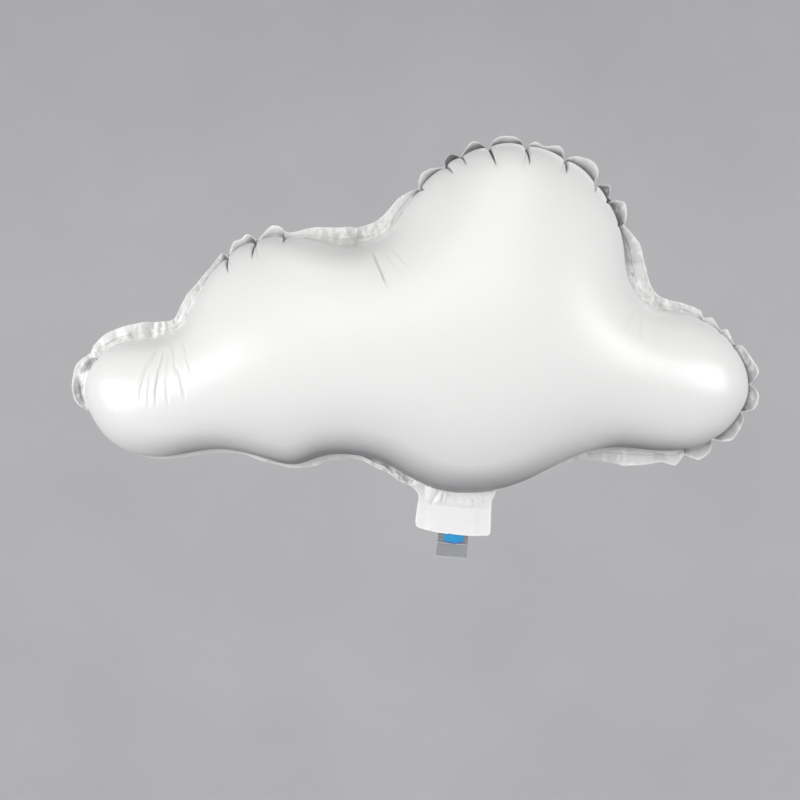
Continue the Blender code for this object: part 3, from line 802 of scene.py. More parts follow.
random = np.random.RandomState(film["seed"] + 1)
shares = np.array(meshing["marginShares"])
pushAtSeam = ((edge - seamPoint) * outward).sum(1)
reach = np.maximum(cutReach() + pushAtSeam, marginForm["leastReach"])
fall = alongSeam(margin, 2)
fallHere = fall * (marginForm["flatFall"] + (1 - marginForm["flatFall"]) * puff)
petal = smoothStep(fall / marginForm["petalFall"])
curl, facetSize = (bay + (full - bay) * petal for bay, full in (marginForm["curl"], marginForm["facets"]))
facets = [seamNoise(cell, random, crisp=True) for cell in marginForm["facetCells"]]
waves = seamNoise(marginForm["waveCell"], random, crisp=False)
crisp = crinkleHeight(reach, petal, random)
marginPoint = np.empty((len(shares), stationCount, 3))
outOfSeam = ((rimPoint[..., :2] - seamPoint) * outward).sum(2)
backOfRim = middleOfRim + rimPoint[..., 2]


def wayOut(u):
    # share of the reach at one share of the way across, less near the seam where the margin curls
    return (1 - curl) * u + curl * u * u


outBefore = np.zeros(stationCount)
for k, u in enumerate(shares):
    out = reach * wayOut(u)
    back = seamBack + fallHere * ((1 + curl) * u - curl * u * u)
    edgeFacets = u * (facetSize * facets[0] + marginForm["waves"] * waves)
    midFacets = math.sin(math.pi * u) * marginForm["midFacets"] * facetSize * facets[1]
    back += edgeFacets + midFacets - foldHeight(u)
    back -= crisp[k] * min(1, marginForm["crinkleRise"] * u)
    clear = marginForm["clearOfRim"] * min(1, marginForm["clearRise"] * u)
    for i in range(stationCount):
        # clear of the back sheet's own rim, which the margin lies along where it is bent far back
        free = np.interp(back[i], backOfRim[:, i], outOfSeam[:, i]) + clear
        out[i] = max(out[i], free, outBefore[i] + marginForm["leastStep"])
    outBefore = out
    marginPoint[k, :, :2] = seamPoint + outward * out[:, None]
    marginPoint[k, :, 2] = back


def fineLine(points, step):
    # the same line with points at even steps between its corners
    out = []
    for (x0, z0), (x1, z1) in zip(points[:-1], points[1:]):
        pieces = max(1, int(round(math.dist((x0, z0), (x1, z1)) / step)))
        out += [(x0 + (x1 - x0) * t / pieces, z0 + (z1 - z0) * t / pieces) for t in range(pieces)]
    return out + [tuple(points[-1])]


columnLeft, columnRight = marginPoint[:, marginOrder[0]], marginPoint[:, marginOrder[-1]]
tabEnds = columnRight[-1, :2], columnLeft[-1, :2]
tabLine = fineLine([tuple(tabEnds[0]), *neckOutline, tuple(tabEnds[1])], neck["grid"])[1:-1]
neckLoop = np.vstack([seamPoint[neckOrder[::-1]], columnRight[:, :2], tabLine, columnLeft[::-1, :2]])
neckGrid = staggeredGrid(neckLoop.min(0), neckLoop.max(0), neck["grid"])
neckPlan = np.vstack([neckLoop, fillLoop(neckGrid, neckLoop, neck["gridClear"])])
neckTriangles = cleanDelaunay(neckPlan, len(neckLoop))


def joinNeck(values, atSeam, atRight, atLeft):
    # values that the neck's loop takes over from the seam and from both ends of the margin
    count = len(neckOrder)
    values[:count] = atSeam[::-1]
    values[count : count + len(shares)] = atRight
    values[len(neckLoop) - len(shares) : len(neckLoop)] = atLeft[::-1]
    return values


neckMiddle = joinNeck(np.zeros(len(neckPlan)), seamBack[neckOrder], columnRight[:, 2], columnLeft[:, 2])
neckHeld = np.arange(len(neckPlan)) < len(neckLoop)
neckMiddle = membrane(neckPlan, neckTriangles, neckHeld, neckMiddle)
print("neck points", len(neckPlan), "triangles", len(neckTriangles))

# all the points of one sheet: dome, margin, then the neck's own;
# each has a middle, a stand-off and a way out of it
marginStart = len(domePlan)
marginKept = marginPoint[:, marginOrder]
alongMargin = np.gradient(marginKept, axis=1)
seamPlace = np.column_stack([seamPoint, seamBack])[marginOrder]
acrossMargin = np.gradient(np.concatenate([seamPlace[None], marginKept]), axis=0)[1:]
marginWay = unit(np.cross(alongMargin, acrossMargin))
marginWay *= -np.sign(marginWay[..., 2].mean())
neckStart = marginStart + len(shares) * len(marginOrder)
marginIndex = np.arange(marginStart, neckStart).reshape(len(shares), len(marginOrder))
neckOwn = joinNeck(np.full(len(neckPlan), -1), neckOrder, marginIndex[:, -1], marginIndex[:, 0])
neckFresh = neckOwn < 0
neckOwn[neckFresh] = neckStart + np.arange(neckFresh.sum())

sheetMiddle = np.vstack([
    np.column_stack([domePlan, domeMiddle]),
    marginKept.reshape(-1, 3),
    np.column_stack([neckPlan, neckMiddle])[neckFresh],
])
sheetWay = np.tile((0.0, 0.0, -1.0), (len(sheetMiddle), 1))  # x, z and then y, towards the viewer
sheetWay[marginStart:neckStart] = marginWay.reshape(-1, 3)
pucker, puckerShade = puckerHeight(neckPlan)
swell = np.maximum(neckSwell(neckPlan) + pucker, 0)
standOff = np.concatenate([height, np.zeros(neckStart - marginStart), swell[neckFresh]])

# tone of the white coat with painted shade and painted dark reflection: darker in grooves, wrinkles, folds
# and facets, at the petals' roots and on the rim over the margin; lighter on the cut edges, and painted
# light on the tab; a band is the place where it begins and its run, which may lead back
toneAndShade = {
    "plain": 0.5,
    "groove": 0.48,  # painted shade: darker by this in a groove
    "grooveFull": 1.6,  # at this depth or more
    "grooveWidth": (0.35, 0.9),
    "grooveRun": 2.2,  # how far along it stays so
    "grooveFall": 0.7,
    "rimRun": 4,  # run in from the seam over which the rim's shade fades
    "bellyFall": 1.3,
    "root": 0.46,  # painted shade: darker by this at the root of the petals
    "rootPlain": 0.8,
    "rootShort": (1.0, 3.5),  # more just short of a crease: how much, and over what run
    "rootPast": (0.3, 2.5),  # and just past one
    "rootSlow": (0.6, 2),  # how much slower it fades short of a crease
    "rootReach": (0.8, 2.5),  # a narrower margin has none
    "cut": 0.3,
    "cutBand": (0.94, 0.05),
    "cutInPetals": 0.8,  # less by this share
    "facetSides": 3,  # crisper with a larger number
    "facetEnds": 12,
    # painted light: the tab is lighter than the dome, where the belly keeps the light off it; and lighter
    # towards its cut edge
    "tab": 0.62,
    "tabEdge": 0.28,
    "tabBand": (1.1, -0.5),
    # painted shade in the throat's band under the dome's edge
    "throat": 0.08,
    "throatLeft": (12, 5),  # x where the throat's band begins, and its fade
    "throatRight": (43, -3),
}

# how crumpled the film is: not at all on the dome, most in the flat bays of the margin
loose = {"fade": 0.3, "lessInPetals": 0.5, "rim": 0.5, "rimRun": 4, "neck": 0.25}


def facetShade(share):
    # what the painted shade of the facets takes off the tone, at one share of the way across the margin
    total = np.zeros(stationCount)
    for x, z, half, begin, end, shade in facetShades:
        skewed = np.abs(seamGap(stations, placeOnSeam(x, z)) + (share - 0.5) * half) / half
        shadeHere = shade * smoothStep((1 - skewed) * toneAndShade["facetSides"])
        shadeHere = shadeHere * smoothStep((share - begin) * toneAndShade["facetEnds"])
        total += shadeHere * smoothStep((end - share) * toneAndShade["facetEnds"])
    return total


tone = np.full(len(sheetMiddle), toneAndShade["plain"])
# painted shade in the creases' grooves, and painted shade and dark reflection on the rim above the margin
# and under the belly
grooveTone = toneAndShade["groove"] * np.clip(grooveDepth / toneAndShade["grooveFull"], 0, 1) * wedge(toneAndShade["grooveWidth"])
grooveTone = grooveTone * np.clip(toneAndShade["grooveRun"] * grooveFade, 0, 1) ** toneAndShade["grooveFall"]
shadeLeft = np.exp(-film["rimDepth"] / toneAndShade["rimRun"])
shadeFade = (np.exp(-depths / toneAndShade["rimRun"]) - shadeLeft) / (1 - shadeLeft)
rimShade = alongSeam(margin, 5) * shadeFade[:, None]
rimShade += alongSeam(bellyShade, 2) * (1 - depths[:, None] / film["rimDepth"]) ** toneAndShade["bellyFall"]
rimTone = np.minimum(toneAndShade["plain"] - grooveTone, toneAndShade["plain"] - toneAndShade["plain"] * rimShade)
tone[:rimCount] = rimTone.reshape(-1)
# painted shade along the wrinkles
tone[: len(domePlan)] -= wrinklePaintedShade

# painted shade at the roots of the petals, deepest beside a crease and fading outwards
besideCrease = toneAndShade["rootPlain"] + bell(ahead, *toneAndShade["rootShort"]) + bell(behind, *toneAndShade["rootPast"])
petalTone = np.clip(alongSeam(margin, 4) * besideCrease, 0, 1) * rise(reach, toneAndShade["rootReach"])
rootFade = creaseTable[creaseBehind, 6] * (1 - bell(ahead, *toneAndShade["rootSlow"]))
crumpled = np.zeros(len(sheetMiddle))
for row, u in zip(marginIndex, shares):
    rootTone = toneAndShade["root"] * petalTone * (1 - wayOut(u)) ** rootFade
    cutTone = toneAndShade["cut"] * rise(u, toneAndShade["cutBand"]) * (1 - toneAndShade["cutInPetals"] * petalTone)
    tone[row] = (toneAndShade["plain"] - rootTone + cutTone - facetShade(u))[marginOrder]
    crumpled[row] = (smoothStep(u / loose["fade"]) * (1 - loose["lessInPetals"] * petal))[marginOrder]
rimLoose = np.clip(1 - depths[:, None] / loose["rimRun"], 0, 1) * (1 - petal) * loose["rim"]
crumpled[:rimCount] = rimLoose.reshape(-1)
crumpled[neckStart:] = loose["neck"]

# painted light on the tab, painted shade in the throat's band and in its puckers
tabEdge = clearance(neckPlan, np.vstack([tabEnds[0], tabLine, tabEnds[1]]))
throatBand = smoothStep(lineAbove(neckPlan, foldLine) / neck["foldFade"])
throatBand *= rise(neckPlan[:, 0], toneAndShade["throatLeft"])
throatBand *= rise(neckPlan[:, 0], toneAndShade["throatRight"])
neckTone = toneAndShade["tab"] + toneAndShade["tabEdge"] * rise(tabEdge, toneAndShade["tabBand"])
neckTone = neckTone - puckerShade - toneAndShade["throat"] * throatBand
tone[neckStart:] = neckTone[neckFresh]

marginRows = [marginOrder, *marginIndex]
marginFaces = [q for a, b in zip(marginRows, marginRows[1:]) for q in ringQuads(a, b, closed=False)]


def facingViewer(faces):
    # turns a group of faces as a whole, so that their area in plan is positive
    total = 0.0
    for face in faces:
        corner = sheetMiddle[list(face), :2]
        after = np.roll(corner, -1, 0)
        total += (corner[:, 0] * after[:, 1] - after[:, 0] * corner[:, 1]).sum()
    return [tuple(int(v) for v in (face if total > 0 else face[::-1])) for face in faces]


sheetFaces = [*facingViewer(rimFaces), *facingViewer(bodyTriangles), *facingViewer(marginFaces)]
sheetFaces += facingViewer(neckOwn[neckTriangles])
print("one sheet:", len(sheetMiddle), "points,", len(sheetFaces), "faces")


def meshObject(name, points, faces, finish, smooth=True):
    mesh = bpy.data.meshes.new(name)
    mesh.from_pydata([tuple(p) for p in points], [], faces)
    mesh.validate()
    made = bpy.data.objects.new(name, mesh)
    bpy.context.collection.objects.link(made)
    mesh.materials.append(finish)
    if smooth:
        mesh.shade_smooth()
    return made


def setValues(piece, name, values):
    # a value at every point, for the finish to read
    piece.data.attributes.new(name, "FLOAT", "POINT").data.foreach_set("value", np.ravel(values))


def giveWall(piece, wall):
    shell = piece.modifiers.new("wall", "SOLIDIFY")
    shell.thickness = wall * mm
    shell.offset = 1
    shell.use_rim = True


def buildSheet(name, side, finish):
    # side is -1 for the front and 1 for the back
    place = sheetMiddle + sheetWay * (-side * (standOff + film["weldGap"] / 2))[:, None]
    points = place[:, [0, 2, 1]] * mm
    faces = sheetFaces if side < 0 else [face[::-1] for face in sheetFaces]
    sheet = meshObject(name, points, faces, finish)
    setValues(sheet, "paintedShadeAndTone", tone)
    setValues(sheet, "crumple", crumpled)
    giveWall(sheet, film["wall"])
    return sheet


# shading
def newGroup(name, kind, sockets):
    tree = bpy.data.node_groups.new(name, kind)
    for title, way, socketType, value in sockets:
        socket = tree.interface.new_socket(name=title, in_out=way, socket_type=socketType)
        if value is not None:
            socket.default_value = value
    return tree, tree.nodes.new("NodeGroupInput"), tree.nodes.new("NodeGroupOutput")


def addNode(tree, kind, **settings):
    # a node with its own settings or the values of its sockets
    node = tree.nodes.new(kind)
    for key, value in settings.items():
        if hasattr(node, key):
            setattr(node, key, value)
        else:
            node.inputs[key.replace("_", " ")].default_value = value
    return node


def arithmetic(tree, operation, *values, clamp=False):
    node = addNode(tree, "ShaderNodeMath", operation=operation, use_clamp=clamp)
    for slot, value in enumerate(values):
        if hasattr(value, "is_output"):
            tree.links.new(value, node.inputs[slot])
        else:
            node.inputs[slot].default_value = value
    return node.outputs[0]


def crinkleGroup():
    # fine creasing of metallised film: its height for a bump, and a mask of its crests
    tree, given, out = newGroup("filmCrinkle", "ShaderNodeTree", [
        ("Place", "INPUT", "NodeSocketVector", None),
        ("Broad", "INPUT", "NodeSocketFloat", 22.0),
        ("Fine", "INPUT", "NodeSocketFloat", 160.0),
        ("Fine Share", "INPUT", "NodeSocketFloat", 0.25),
        ("Facets", "INPUT", "NodeSocketFloat", 150.0),
        ("Facet Share", "INPUT", "NodeSocketFloat", 0.0),
        ("Height", "OUTPUT", "NodeSocketFloat", None),
        ("Crest", "OUTPUT", "NodeSocketFloat", None),
    ])
    broad = addNode(tree, "ShaderNodeTexNoise", Detail=2.0, Roughness=0.45, Distortion=0.6)
    fine = addNode(tree, "ShaderNodeTexNoise", Detail=3.0, Roughness=0.55, Distortion=1.4)
    for node, size in ((broad, "Broad"), (fine, "Fine")):
        tree.links.new(given.outputs["Place"], node.inputs["Vector"])
        tree.links.new(given.outputs[size], node.inputs["Scale"])
    fold = arithmetic(tree, "ABSOLUTE", arithmetic(tree, "SUBTRACT", fine.outputs["Fac"], 0.5))
    ridges = arithmetic(tree, "MULTIPLY", fold, given.outputs["Fine Share"])
    # flat facets with crisp folds between them, where the film has been crumpled
    flats = addNode(tree, "ShaderNodeTexVoronoi", distance="MANHATTAN", Randomness=1.0)
    tree.links.new(given.outputs["Place"], flats.inputs["Vector"])
    tree.links.new(given.outputs["Facets"], flats.inputs["Scale"])
    crumpled = arithmetic(tree, "MULTIPLY", flats.outputs["Distance"], given.outputs["Facet Share"])
    total = arithmetic(tree, "ADD", arithmetic(tree, "ADD", broad.outputs["Fac"], ridges), crumpled)
    tree.links.new(total, out.inputs["Height"])
    tree.links.new(arithmetic(tree, "MULTIPLY", fold, 3.0, clamp=True), out.inputs["Crest"])
    return tree


filmCrinkle = crinkleGroup()


def newMaterial(name):
    made = bpy.data.materials.new(name)
    made.use_nodes = True
    shader = made.node_tree.nodes["Principled BSDF"]
    return made, made.node_tree, shader


def placeCrinkle(tree, sizes):
    where = tree.nodes.new("ShaderNodeTexCoord")
    group = addNode(tree, "ShaderNodeGroup", node_tree=filmCrinkle, **sizes)
    tree.links.new(where.outputs["Object"], group.inputs["Place"])
    return group


def bumpFrom(tree, shader, height, strength, distance):
    bump = addNode(tree, "ShaderNodeBump", Strength=strength, Distance=distance * mm)
    tree.links.new(height, bump.inputs["Height"])
    tree.links.new(bump.outputs["Normal"], shader.inputs["Normal"])


def ramp(tree, value, stops):
    node = tree.nodes.new("ShaderNodeValToRGB")
    band = node.color_ramp
    while len(band.elements) < len(stops):
        band.elements.new(0.5)
    for element, (position, colour) in zip(band.elements, stops):
        element.position = position
        element.color = (*colour, 1)
    tree.links.new(value, node.inputs["Fac"])
    return node.outputs["Color"]


def drive(tree, value, ends, socket):
    # runs a socket from one value to another as a mask goes from 0 to 1
    spread = addNode(tree, "ShaderNodeMapRange", To_Min=ends[0], To_Max=ends[1])
    tree.links.new(value, spread.inputs["Value"])
    tree.links.new(spread.outputs["Result"], socket)


foilLook = {
    "lobe": (0.84, 0.836, 0.825),
    # the two dark colours are only reached where shade is painted into the tone
    "paintedDark": (0.035, 0.035, 0.04),
    "paintedGrey": (0.2, 0.2, 0.21),
    "cut": (0.97, 0.97, 0.97),
    "roughness": (0.29, 0.38),
    "coatWeight": 0.26,
    "coatRoughness": 0.3,
    "crinkle": {"Broad": 9.0, "Fine": 70.0, "Fine Share": 0.5, "Facets": 140.0},  # to a metre
    "facetDepth": 4.0,
    "bump": 0.35,
    "bumpHeight": 1.2,
}


def whiteFoil():
    made, tree, shader = newMaterial("whiteFoil")
    group = placeCrinkle(tree, foilLook["crinkle"])
    crumple = addNode(tree, "ShaderNodeAttribute", attribute_name="crumple")
    depth = arithmetic(tree, "MULTIPLY", crumple.outputs["Fac"], foilLook["facetDepth"])
    tree.links.new(depth, group.inputs["Facet Share"])
    # the tone, with its painted shade and painted light, picks the colour from the ramp
    paintedShadeAndTone = addNode(tree, "ShaderNodeAttribute", attribute_name="paintedShadeAndTone")
    colour = ramp(tree, paintedShadeAndTone.outputs["Fac"], [
        (0.0, foilLook["paintedDark"]), (0.25, foilLook["paintedGrey"]), (0.5, foilLook["lobe"]), (0.9, foilLook["cut"]),
    ])
    tree.links.new(colour, shader.inputs["Base Color"])
    drive(tree, group.outputs["Height"], foilLook["roughness"], shader.inputs["Roughness"])
    shader.inputs["Coat Weight"].default_value = foilLook["coatWeight"]
    shader.inputs["Coat Roughness"].default_value = foilLook["coatRoughness"]
    bumpFrom(tree, shader, group.outputs["Height"], foilLook["bump"], foilLook["bumpHeight"])
    return made


# the clear film; pairs are its values between the welds and in them
filmLook = {
    "tint": ((0.3, 0.31, 0.33), (0.86, 0.87, 0.9)),
    "alpha": (0.42, 0.75),
    "roughness": 0.14,
    "crinkle": {"Broad": 60.0, "Fine": 420.0, "Fine Share": 0.4},
    "bump": 0.5,
    "bumpHeight": 0.4,
}


def clearFilm():
    made, tree, shader = newMaterial("clearFilm")
    group = placeCrinkle(tree, filmLook["crinkle"])
    weld = addNode(tree, "ShaderNodeAttribute", attribute_name="weldBand")
    tint = ramp(tree, weld.outputs["Fac"], list(enumerate(filmLook["tint"])))
    tree.links.new(tint, shader.inputs["Base Color"])
    drive(tree, weld.outputs["Fac"], filmLook["alpha"], shader.inputs["Alpha"])
    shader.inputs["Roughness"].default_value = filmLook["roughness"]
    bumpFrom(tree, shader, group.outputs["Height"], filmLook["bump"], filmLook["bumpHeight"])
    return made


printLook = {
    "top": (0.01, 0.32, 0.64),
    "low": (0.012, 0.27, 0.6),
    "foot": (0.06, 0.05, 0.3),
    "thin": (0.06, 0.47, 0.8),  # where the film's crests show through
    "roughness": 0.4,
    "crinkle": {"Broad": 240.0, "Fine": 900.0, "Fine Share": 0.5},
    "bump": 0.3,
    "bumpHeight": 0.1,
}


def bluePrint():
    made, tree, shader = newMaterial("bluePrint")
    group = placeCrinkle(tree, printLook["crinkle"])
    down = addNode(tree, "ShaderNodeAttribute", attribute_name="inkDown")
    ink = ramp(tree, down.outputs["Fac"], [
        (0.0, printLook["top"]), (0.86, printLook["low"]), (0.95, printLook["foot"]),
    ])
    thin = addNode(tree, "ShaderNodeMix", data_type="RGBA")  # its colours are inputs 6 and 7, and output 2
    tree.links.new(group.outputs["Crest"], thin.inputs["Factor"])
    tree.links.new(ink, thin.inputs[6])
    thin.inputs[7].default_value = (*printLook["thin"], 1)
    tree.links.new(thin.outputs[2], shader.inputs["Base Color"])
    shader.inputs["Roughness"].default_value = printLook["roughness"]
    bumpFrom(tree, shader, group.outputs["Height"], printLook["bump"], printLook["bumpHeight"])
    return made


foilFinish, filmFinish, printFinish = whiteFoil(), clearFilm(), bluePrint()

frontFoil = buildSheet("frontFoil", -1, foilFinish)
backFoil = buildSheet("backFoil", 1, foilFinish)
print("foil sheets made")

# the bead where the two sheets are melted together, along the middle of the margin
bead = {"radius": 0.34, "sides": 8, "tone": -0.05}


def beadTree():
    tree, given, out = newGroup("weldBead", "GeometryNodeTree", [
        ("Line", "INPUT", "NodeSocketGeometry", None),
        ("Radius", "INPUT", "NodeSocketFloat", 0.001),
        ("Sides", "INPUT", "NodeSocketInt", 6),
        ("Finish", "INPUT", "NodeSocketMaterial", None),
        ("Bead", "OUTPUT", "NodeSocketGeometry", None),
    ])
    path = tree.nodes.new("GeometryNodeMeshToCurve")
    section = tree.nodes.new("GeometryNodeCurvePrimitiveCircle")
    sweep = tree.nodes.new("GeometryNodeCurveToMesh")
    sweep.inputs["Fill Caps"].default_value = True
    real = tree.nodes.new("GeometryNodeRealizeInstances")
    finish = tree.nodes.new("GeometryNodeSetMaterial")
    smooth = tree.nodes.new("GeometryNodeSetShadeSmooth")
    for start, end in (
        (given.outputs["Line"], path.inputs[0]),
        (given.outputs["Radius"], section.inputs["Radius"]),
        (given.outputs["Sides"], section.inputs["Resolution"]),
        (path.outputs[0], sweep.inputs["Curve"]),
        (section.outputs[0], sweep.inputs["Profile Curve"]),
        (sweep.outputs[0], smooth.inputs[0]),
        (smooth.outputs[0], real.inputs[0]),
        (real.outputs[0], finish.inputs[0]),
        (given.outputs["Finish"], finish.inputs["Material"]),
        (finish.outputs[0], out.inputs[0]),
    ):
        tree.links.new(start, end)
    return tree


def growFromNodes(name, points, edges, tree, values):
    # runs a geometry tree on a line of points and keeps the plain mesh that comes out
    start = bpy.data.meshes.new(name + "Line")
    start.from_pydata([tuple(p) for p in points], edges, [])
    piece = bpy.data.objects.new(name, start)
    bpy.context.collection.objects.link(piece)
    grown = piece.modifiers.new("grown", "NODES")
    grown.node_group = tree
    for socket in tree.interface.items_tree:
        if socket.in_out == "INPUT" and socket.name in values:
            grown[socket.identifier] = values[socket.name]
    seen = piece.evaluated_get(bpy.context.evaluated_depsgraph_get())
    mesh = bpy.data.meshes.new_from_object(seen)
    piece.modifiers.remove(grown)
    piece.data = mesh
    bpy.data.meshes.remove(start)
    return piece


beadPoints = marginKept[meshing["weldRing"]][:, [0, 2, 1]] * mm
beadEdges = [(i, i + 1) for i in range(len(beadPoints) - 1)]
weldBead = growFromNodes("weldBead", beadPoints, beadEdges, beadTree(), {
    "Radius": bead["radius"] * mm, "Sides": bead["sides"], "Finish": foilFinish,
})
# the bead takes the tone of the margin under it, with its painted shade
weldTone = tone[marginIndex[meshing["weldRing"]]] + bead["tone"]
nearest = [np.argmin(np.linalg.norm(beadPoints - vertex.co, axis=1)) for vertex in weldBead.data.vertices]
setValues(weldBead, "paintedShadeAndTone", weldTone[nearest])
print("weld bead made,", len(weldBead.data.polygons), "faces")

# the filling valve: two clear films welded along their sides, which hang out of the neck
valve = {
    "width": 18.4,
    "top": -72,
    "shortFoot": -122.6,
    "longFoot": -130.8,
    "lean": 5,
    "shift": 4,
    "off": 0.2,  # how far each film's inner face stands off the middle
    "closed": 0.75,  # share of that which its welded sides take up
    "wall": 0.08,
    "across": 28,
    "down": 90,
    "flare": 0.06,
    "flareAt": (-114, -16),  # z where it begins, and the run down that it takes
    "looseAt": (-112, -14),  # where nothing holds the film any more
    "hemAt": (-116, -15),
    "hems": (-0.5, 0.8),  # how far the feet of the front and back film turn, away from the viewer
    "slack": 0.6,
    "bow": 0.22,
    "belly": 0.9,
    "ripple": (0.22, 0.55, 2.2),  # height, turn to a millimetre down, and from side to side
    "weld": (0.6, -0.4),  # width of the welded band, and its fade
    "sideWeld": 0.6,  # strength of the welds at its sides
}
ink = {
    "width": 11.6,
    "shift": 0.5,
    "bow": 0.9,
    "top": -114,
    "foot": -121.6,
    "off": 0.035,
    "wall": 0.03,
    "ragged": 0.7,
    "across": 46,
    "down": 18,
}


def valvePlace(across, z):
    # x and z of a point of the strip, which leans as a whole
    lean = math.radians(valve["lean"])
    drop = valve["top"] - z
    x = neck["centre"] + valve["shift"] - drop * math.sin(lean) + across * math.cos(lean)
    return x, valve["top"] - drop * math.cos(lean) - across * math.sin(lean)


def filmWave(across, z):
    # slack that opens below the neck
    high, turn, skew = valve["ripple"]
    loose = rise(z, valve["looseAt"])
    share = across / (valve["width"] / 2)
    belly = valve["belly"] * loose * (1 - share**2)
    return valve["bow"] * (1 - share**2) + belly + loose * high * np.sin(z * turn + share * skew)


def filmOff(across, z, side, hem):
    # y of a film on one side of the middle, closing up towards its welded sides
    closing = valve["closed"] * (np.abs(across) / (valve["width"] / 2)) ** 6
    y = valve["off"] * (1 - closing) + filmWave(across, z) * valve["slack"]
    return side * y + hem * rise(z, valve["hemAt"]) ** 2


def stripPiece(name, across, y, z, corners, finish):
    # quads over a grid of points on the strip, with their corners in the order given
    x, down = valvePlace(across, z)
    points = np.stack([x, y, down], axis=2).reshape(-1, 3) * mm
    index = np.arange(z.size).reshape(z.shape)
    cells = [(i, j) for i in range(z.shape[0] - 1) for j in range(z.shape[1] - 1)]
    faces = [tuple(int(index[i + a, j + b]) for a, b in corners) for i, j in cells]
    return meshObject(name, points, faces, finish)


def buildFilm(name, side, foot, hem):
    half = valve["width"] / 2
    rows = np.linspace(valve["top"], foot, valve["down"])
    across, z = np.meshgrid(np.linspace(-1, 1, valve["across"]) * half, rows)
    y = filmOff(across, z, side, hem)
    across = across * (1 + valve["flare"] * rise(z, valve["flareAt"]))
    corners = ((0, 0), (0, 1), (1, 1), (1, 0))
    piece = stripPiece(name, across, y, z, corners[::-1] if side < 0 else corners, filmFinish)
    toSide = half * (1 + valve["flare"]) - np.abs(across)
    sideBand, footBand = rise(toSide, valve["weld"]) * valve["sideWeld"], rise(z - foot, valve["weld"])
    setValues(piece, "weldBand", np.maximum(sideBand, footBand))
    giveWall(piece, valve["wall"])
    return piece


valveFilmFront = buildFilm("valveFilmFront", -1, valve["shortFoot"], valve["hems"][0])
valveFilmBack = buildFilm("valveFilmBack", 1, valve["longFoot"], valve["hems"][1])


def buildPrint():
    random = np.random.RandomState(film["seed"] + 5)
    columns = np.linspace(-1, 1, ink["across"]) * ink["width"] / 2 + ink["shift"]
    ragged = random.uniform(0, 1, ink["across"]) ** 2 * ink["ragged"]
    ragged = (ragged + np.roll(ragged, 1)) / 2
    share = np.linspace(0, 1, ink["down"])[:, None]
    bow = ink["bow"] * (1 - ((columns - ink["shift"]) / ink["width"] * 2) ** 2)
    bowed = ink["foot"] + ragged[None, :] - bow
    z = ink["top"] + (bowed - ink["top"]) * share
    across = np.broadcast_to(columns[None, :], z.shape)
    y = filmOff(across, z, -1, valve["hems"][0]) - valve["wall"] - ink["off"]
    piece = stripPiece("valvePrint", across, y, z, ((0, 0), (1, 0), (1, 1), (0, 1)), printFinish)
    setValues(piece, "inkDown", np.broadcast_to(share, z.shape))
    giveWall(piece, ink["wall"])
    return piece


valvePrint = buildPrint()
print("valve made")

for piece, node, slot in (
    (frontFoil, "front_foil_sheet", "white_foil"),
    (backFoil, "back_foil_sheet", "white_foil"),
    (weldBead, None, "white_foil"),
    (valveFilmFront, "valve_film_front", "clear_film"),
    (valveFilmBack, "valve_film_back", "clear_film"),
    (valvePrint, "valve_print", "blue_print"),
):
    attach(piece, "root")
    if node:
        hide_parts(node)

# camera, lights and stage
camera = bpy.data.cameras.new("camera")
eye = bpy.data.objects.new("camera", camera)
bpy.context.collection.objects.link(eye)
eye.location = (view["centre"][0] * mm, -view["distance"] * mm, view["centre"][1] * mm)
eye.rotation_euler = (math.radians(90), 0, 0)
camera.sensor_width = view["sensor"]
camera.lens = view["sensor"] * view["distance"] / (view["pixels"] * view["pixel"])
camera.clip_start = 0.01
camera.clip_end = 50
camera.dof.use_dof = False
bpy.context.scene.camera = eye

studio = {
    "floor": -1.0,
    "floorRadius": 3.2,
    "middle": 0.6,  # radius of the floor's first ring
    "sweep": 1.2,
    "sweepSteps": 16,
    "turns": 96,
    "wallTop": 3.4,
    "tone": (0.55, 0.55, 0.56),
    "roughness": 0.9,
    "mottle": 0.03,  # lighter and darker by this share
    "sky": (0.9, 0.93, 1.0),
    "skyStrength": 0.1,
    # place, aim, size across, watts, colour
    "lights": (
        ("key", (-0.2, -2.1, 1.45), (0, 0, 0), 2.0, 17.2, (1.0, 0.99, 0.97)),
        ("left", (-1.9, -1.12, -0.1), (0, 0, 0), 1.4, 29.5, (1.0, 1.0, 1.0)),
        ("leftFill", (-1.5, -1.75, 0.0), (0, 0, 0), 0.7, 3.2, (1.0, 1.0, 1.0)),
        ("right", (2.0, -1.1, 0.15), (0, 0, 0), 1.1, 26.5, (1.0, 1.0, 1.0)),
        ("low", (0.0, -2.2, -0.8), (0, 0, 0), 1.0, 0.3, (1.0, 0.95, 0.9)),
        ("top", (0.1, -0.7, 2.4), (0, 0, 0), 1.6, 13, (1.0, 1.0, 1.0)),
        ("rear", (0.6, 2.0, 1.1), (0, 0, 0), 1.4, 5, (1.0, 1.0, 1.0)),
        ("backdrop", (0.0, 0.8, -0.6), (0, 3.2, 0.2), 1.4, 22, (1.0, 1.0, 1.0)),
    ),
}


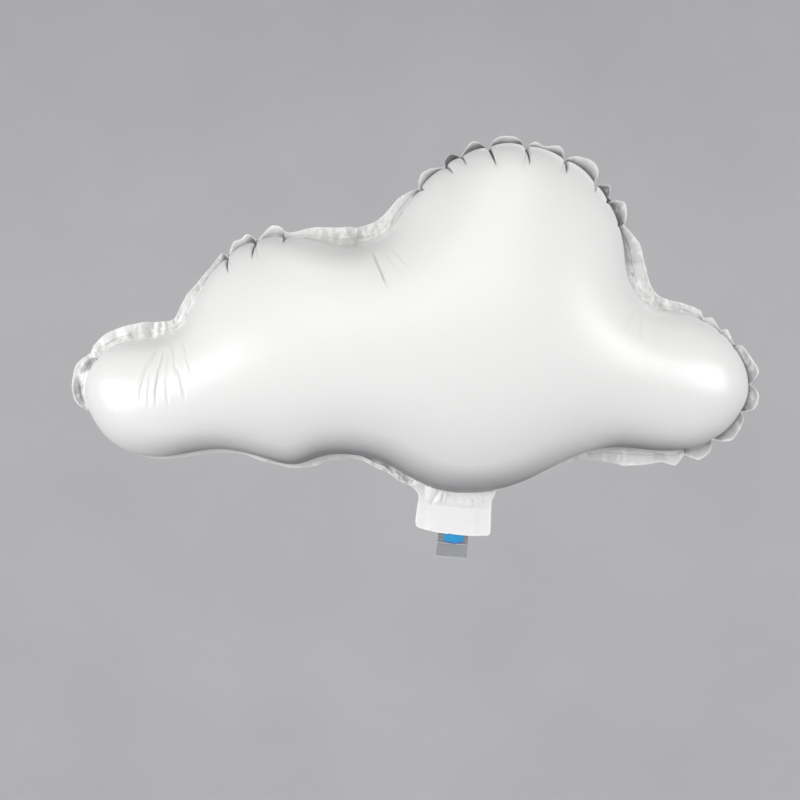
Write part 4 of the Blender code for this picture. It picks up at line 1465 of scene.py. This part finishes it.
def stageFinish():
    made, tree, shader = newMaterial("stagePaint")
    where = tree.nodes.new("ShaderNodeTexCoord")
    grain = addNode(tree, "ShaderNodeTexNoise", Scale=3.0, Detail=4.0)
    tree.links.new(where.outputs["Object"], grain.inputs["Vector"])
    low = tuple(c * (1 - studio["mottle"]) for c in studio["tone"])
    high = tuple(c * (1 + studio["mottle"]) for c in studio["tone"])
    tree.links.new(ramp(tree, grain.outputs["Fac"], [(0.3, low), (0.7, high)]), shader.inputs["Base Color"])
    shader.inputs["Roughness"].default_value = studio["roughness"]
    return made


def buildStage():
    # a round floor that sweeps up into a wall on every side
    turns, sweep = studio["turns"], studio["sweep"]
    flat = studio["floorRadius"] - sweep
    profile = [(studio["middle"], studio["floor"]), (flat, studio["floor"])]
    for step in range(1, studio["sweepSteps"] + 1):
        angle = math.pi / 2 * step / studio["sweepSteps"]
        profile.append((flat + sweep * math.sin(angle), studio["floor"] + sweep * (1 - math.cos(angle))))
    profile.append((studio["floorRadius"], studio["wallTop"]))
    angles = [2 * math.pi * t / turns for t in range(turns)]
    points = [(0, 0, studio["floor"])]
    for out, z in profile:
        points += [(out * math.cos(angle), out * math.sin(angle), z) for angle in angles]
    faces = [(0, 1 + t, 1 + (t + 1) % turns) for t in range(turns)]
    for k in range(len(profile) - 1):
        for t in range(turns):
            low, lowNext = 1 + k * turns + t, 1 + k * turns + (t + 1) % turns
            faces.append((low, low + turns, lowNext + turns, lowNext))
    return meshObject("stage", points, faces, stageFinish())


stage = buildStage()


def addLight(name, place, target, size, watts, colour):
    lamp = bpy.data.lights.new(name, "AREA")
    lamp.shape = "SQUARE"
    lamp.size = size
    lamp.energy = watts
    lamp.color = colour
    holder = bpy.data.objects.new(name, lamp)
    bpy.context.collection.objects.link(holder)
    holder.location = place
    aim = Vector(target) - Vector(place)
    holder.rotation_euler = aim.to_track_quat("-Z", "Y").to_euler()
    holder.visible_camera = False


for row in studio["lights"]:
    addLight(*row)

world = bpy.data.worlds.new("world")
bpy.context.scene.world = world
world.use_nodes = True
background = world.node_tree.nodes["Background"]
background.inputs["Color"].default_value = (*studio["sky"], 1)
background.inputs["Strength"].default_value = studio["skyStrength"]
bpy.context.scene.view_settings.view_transform = "Standard"
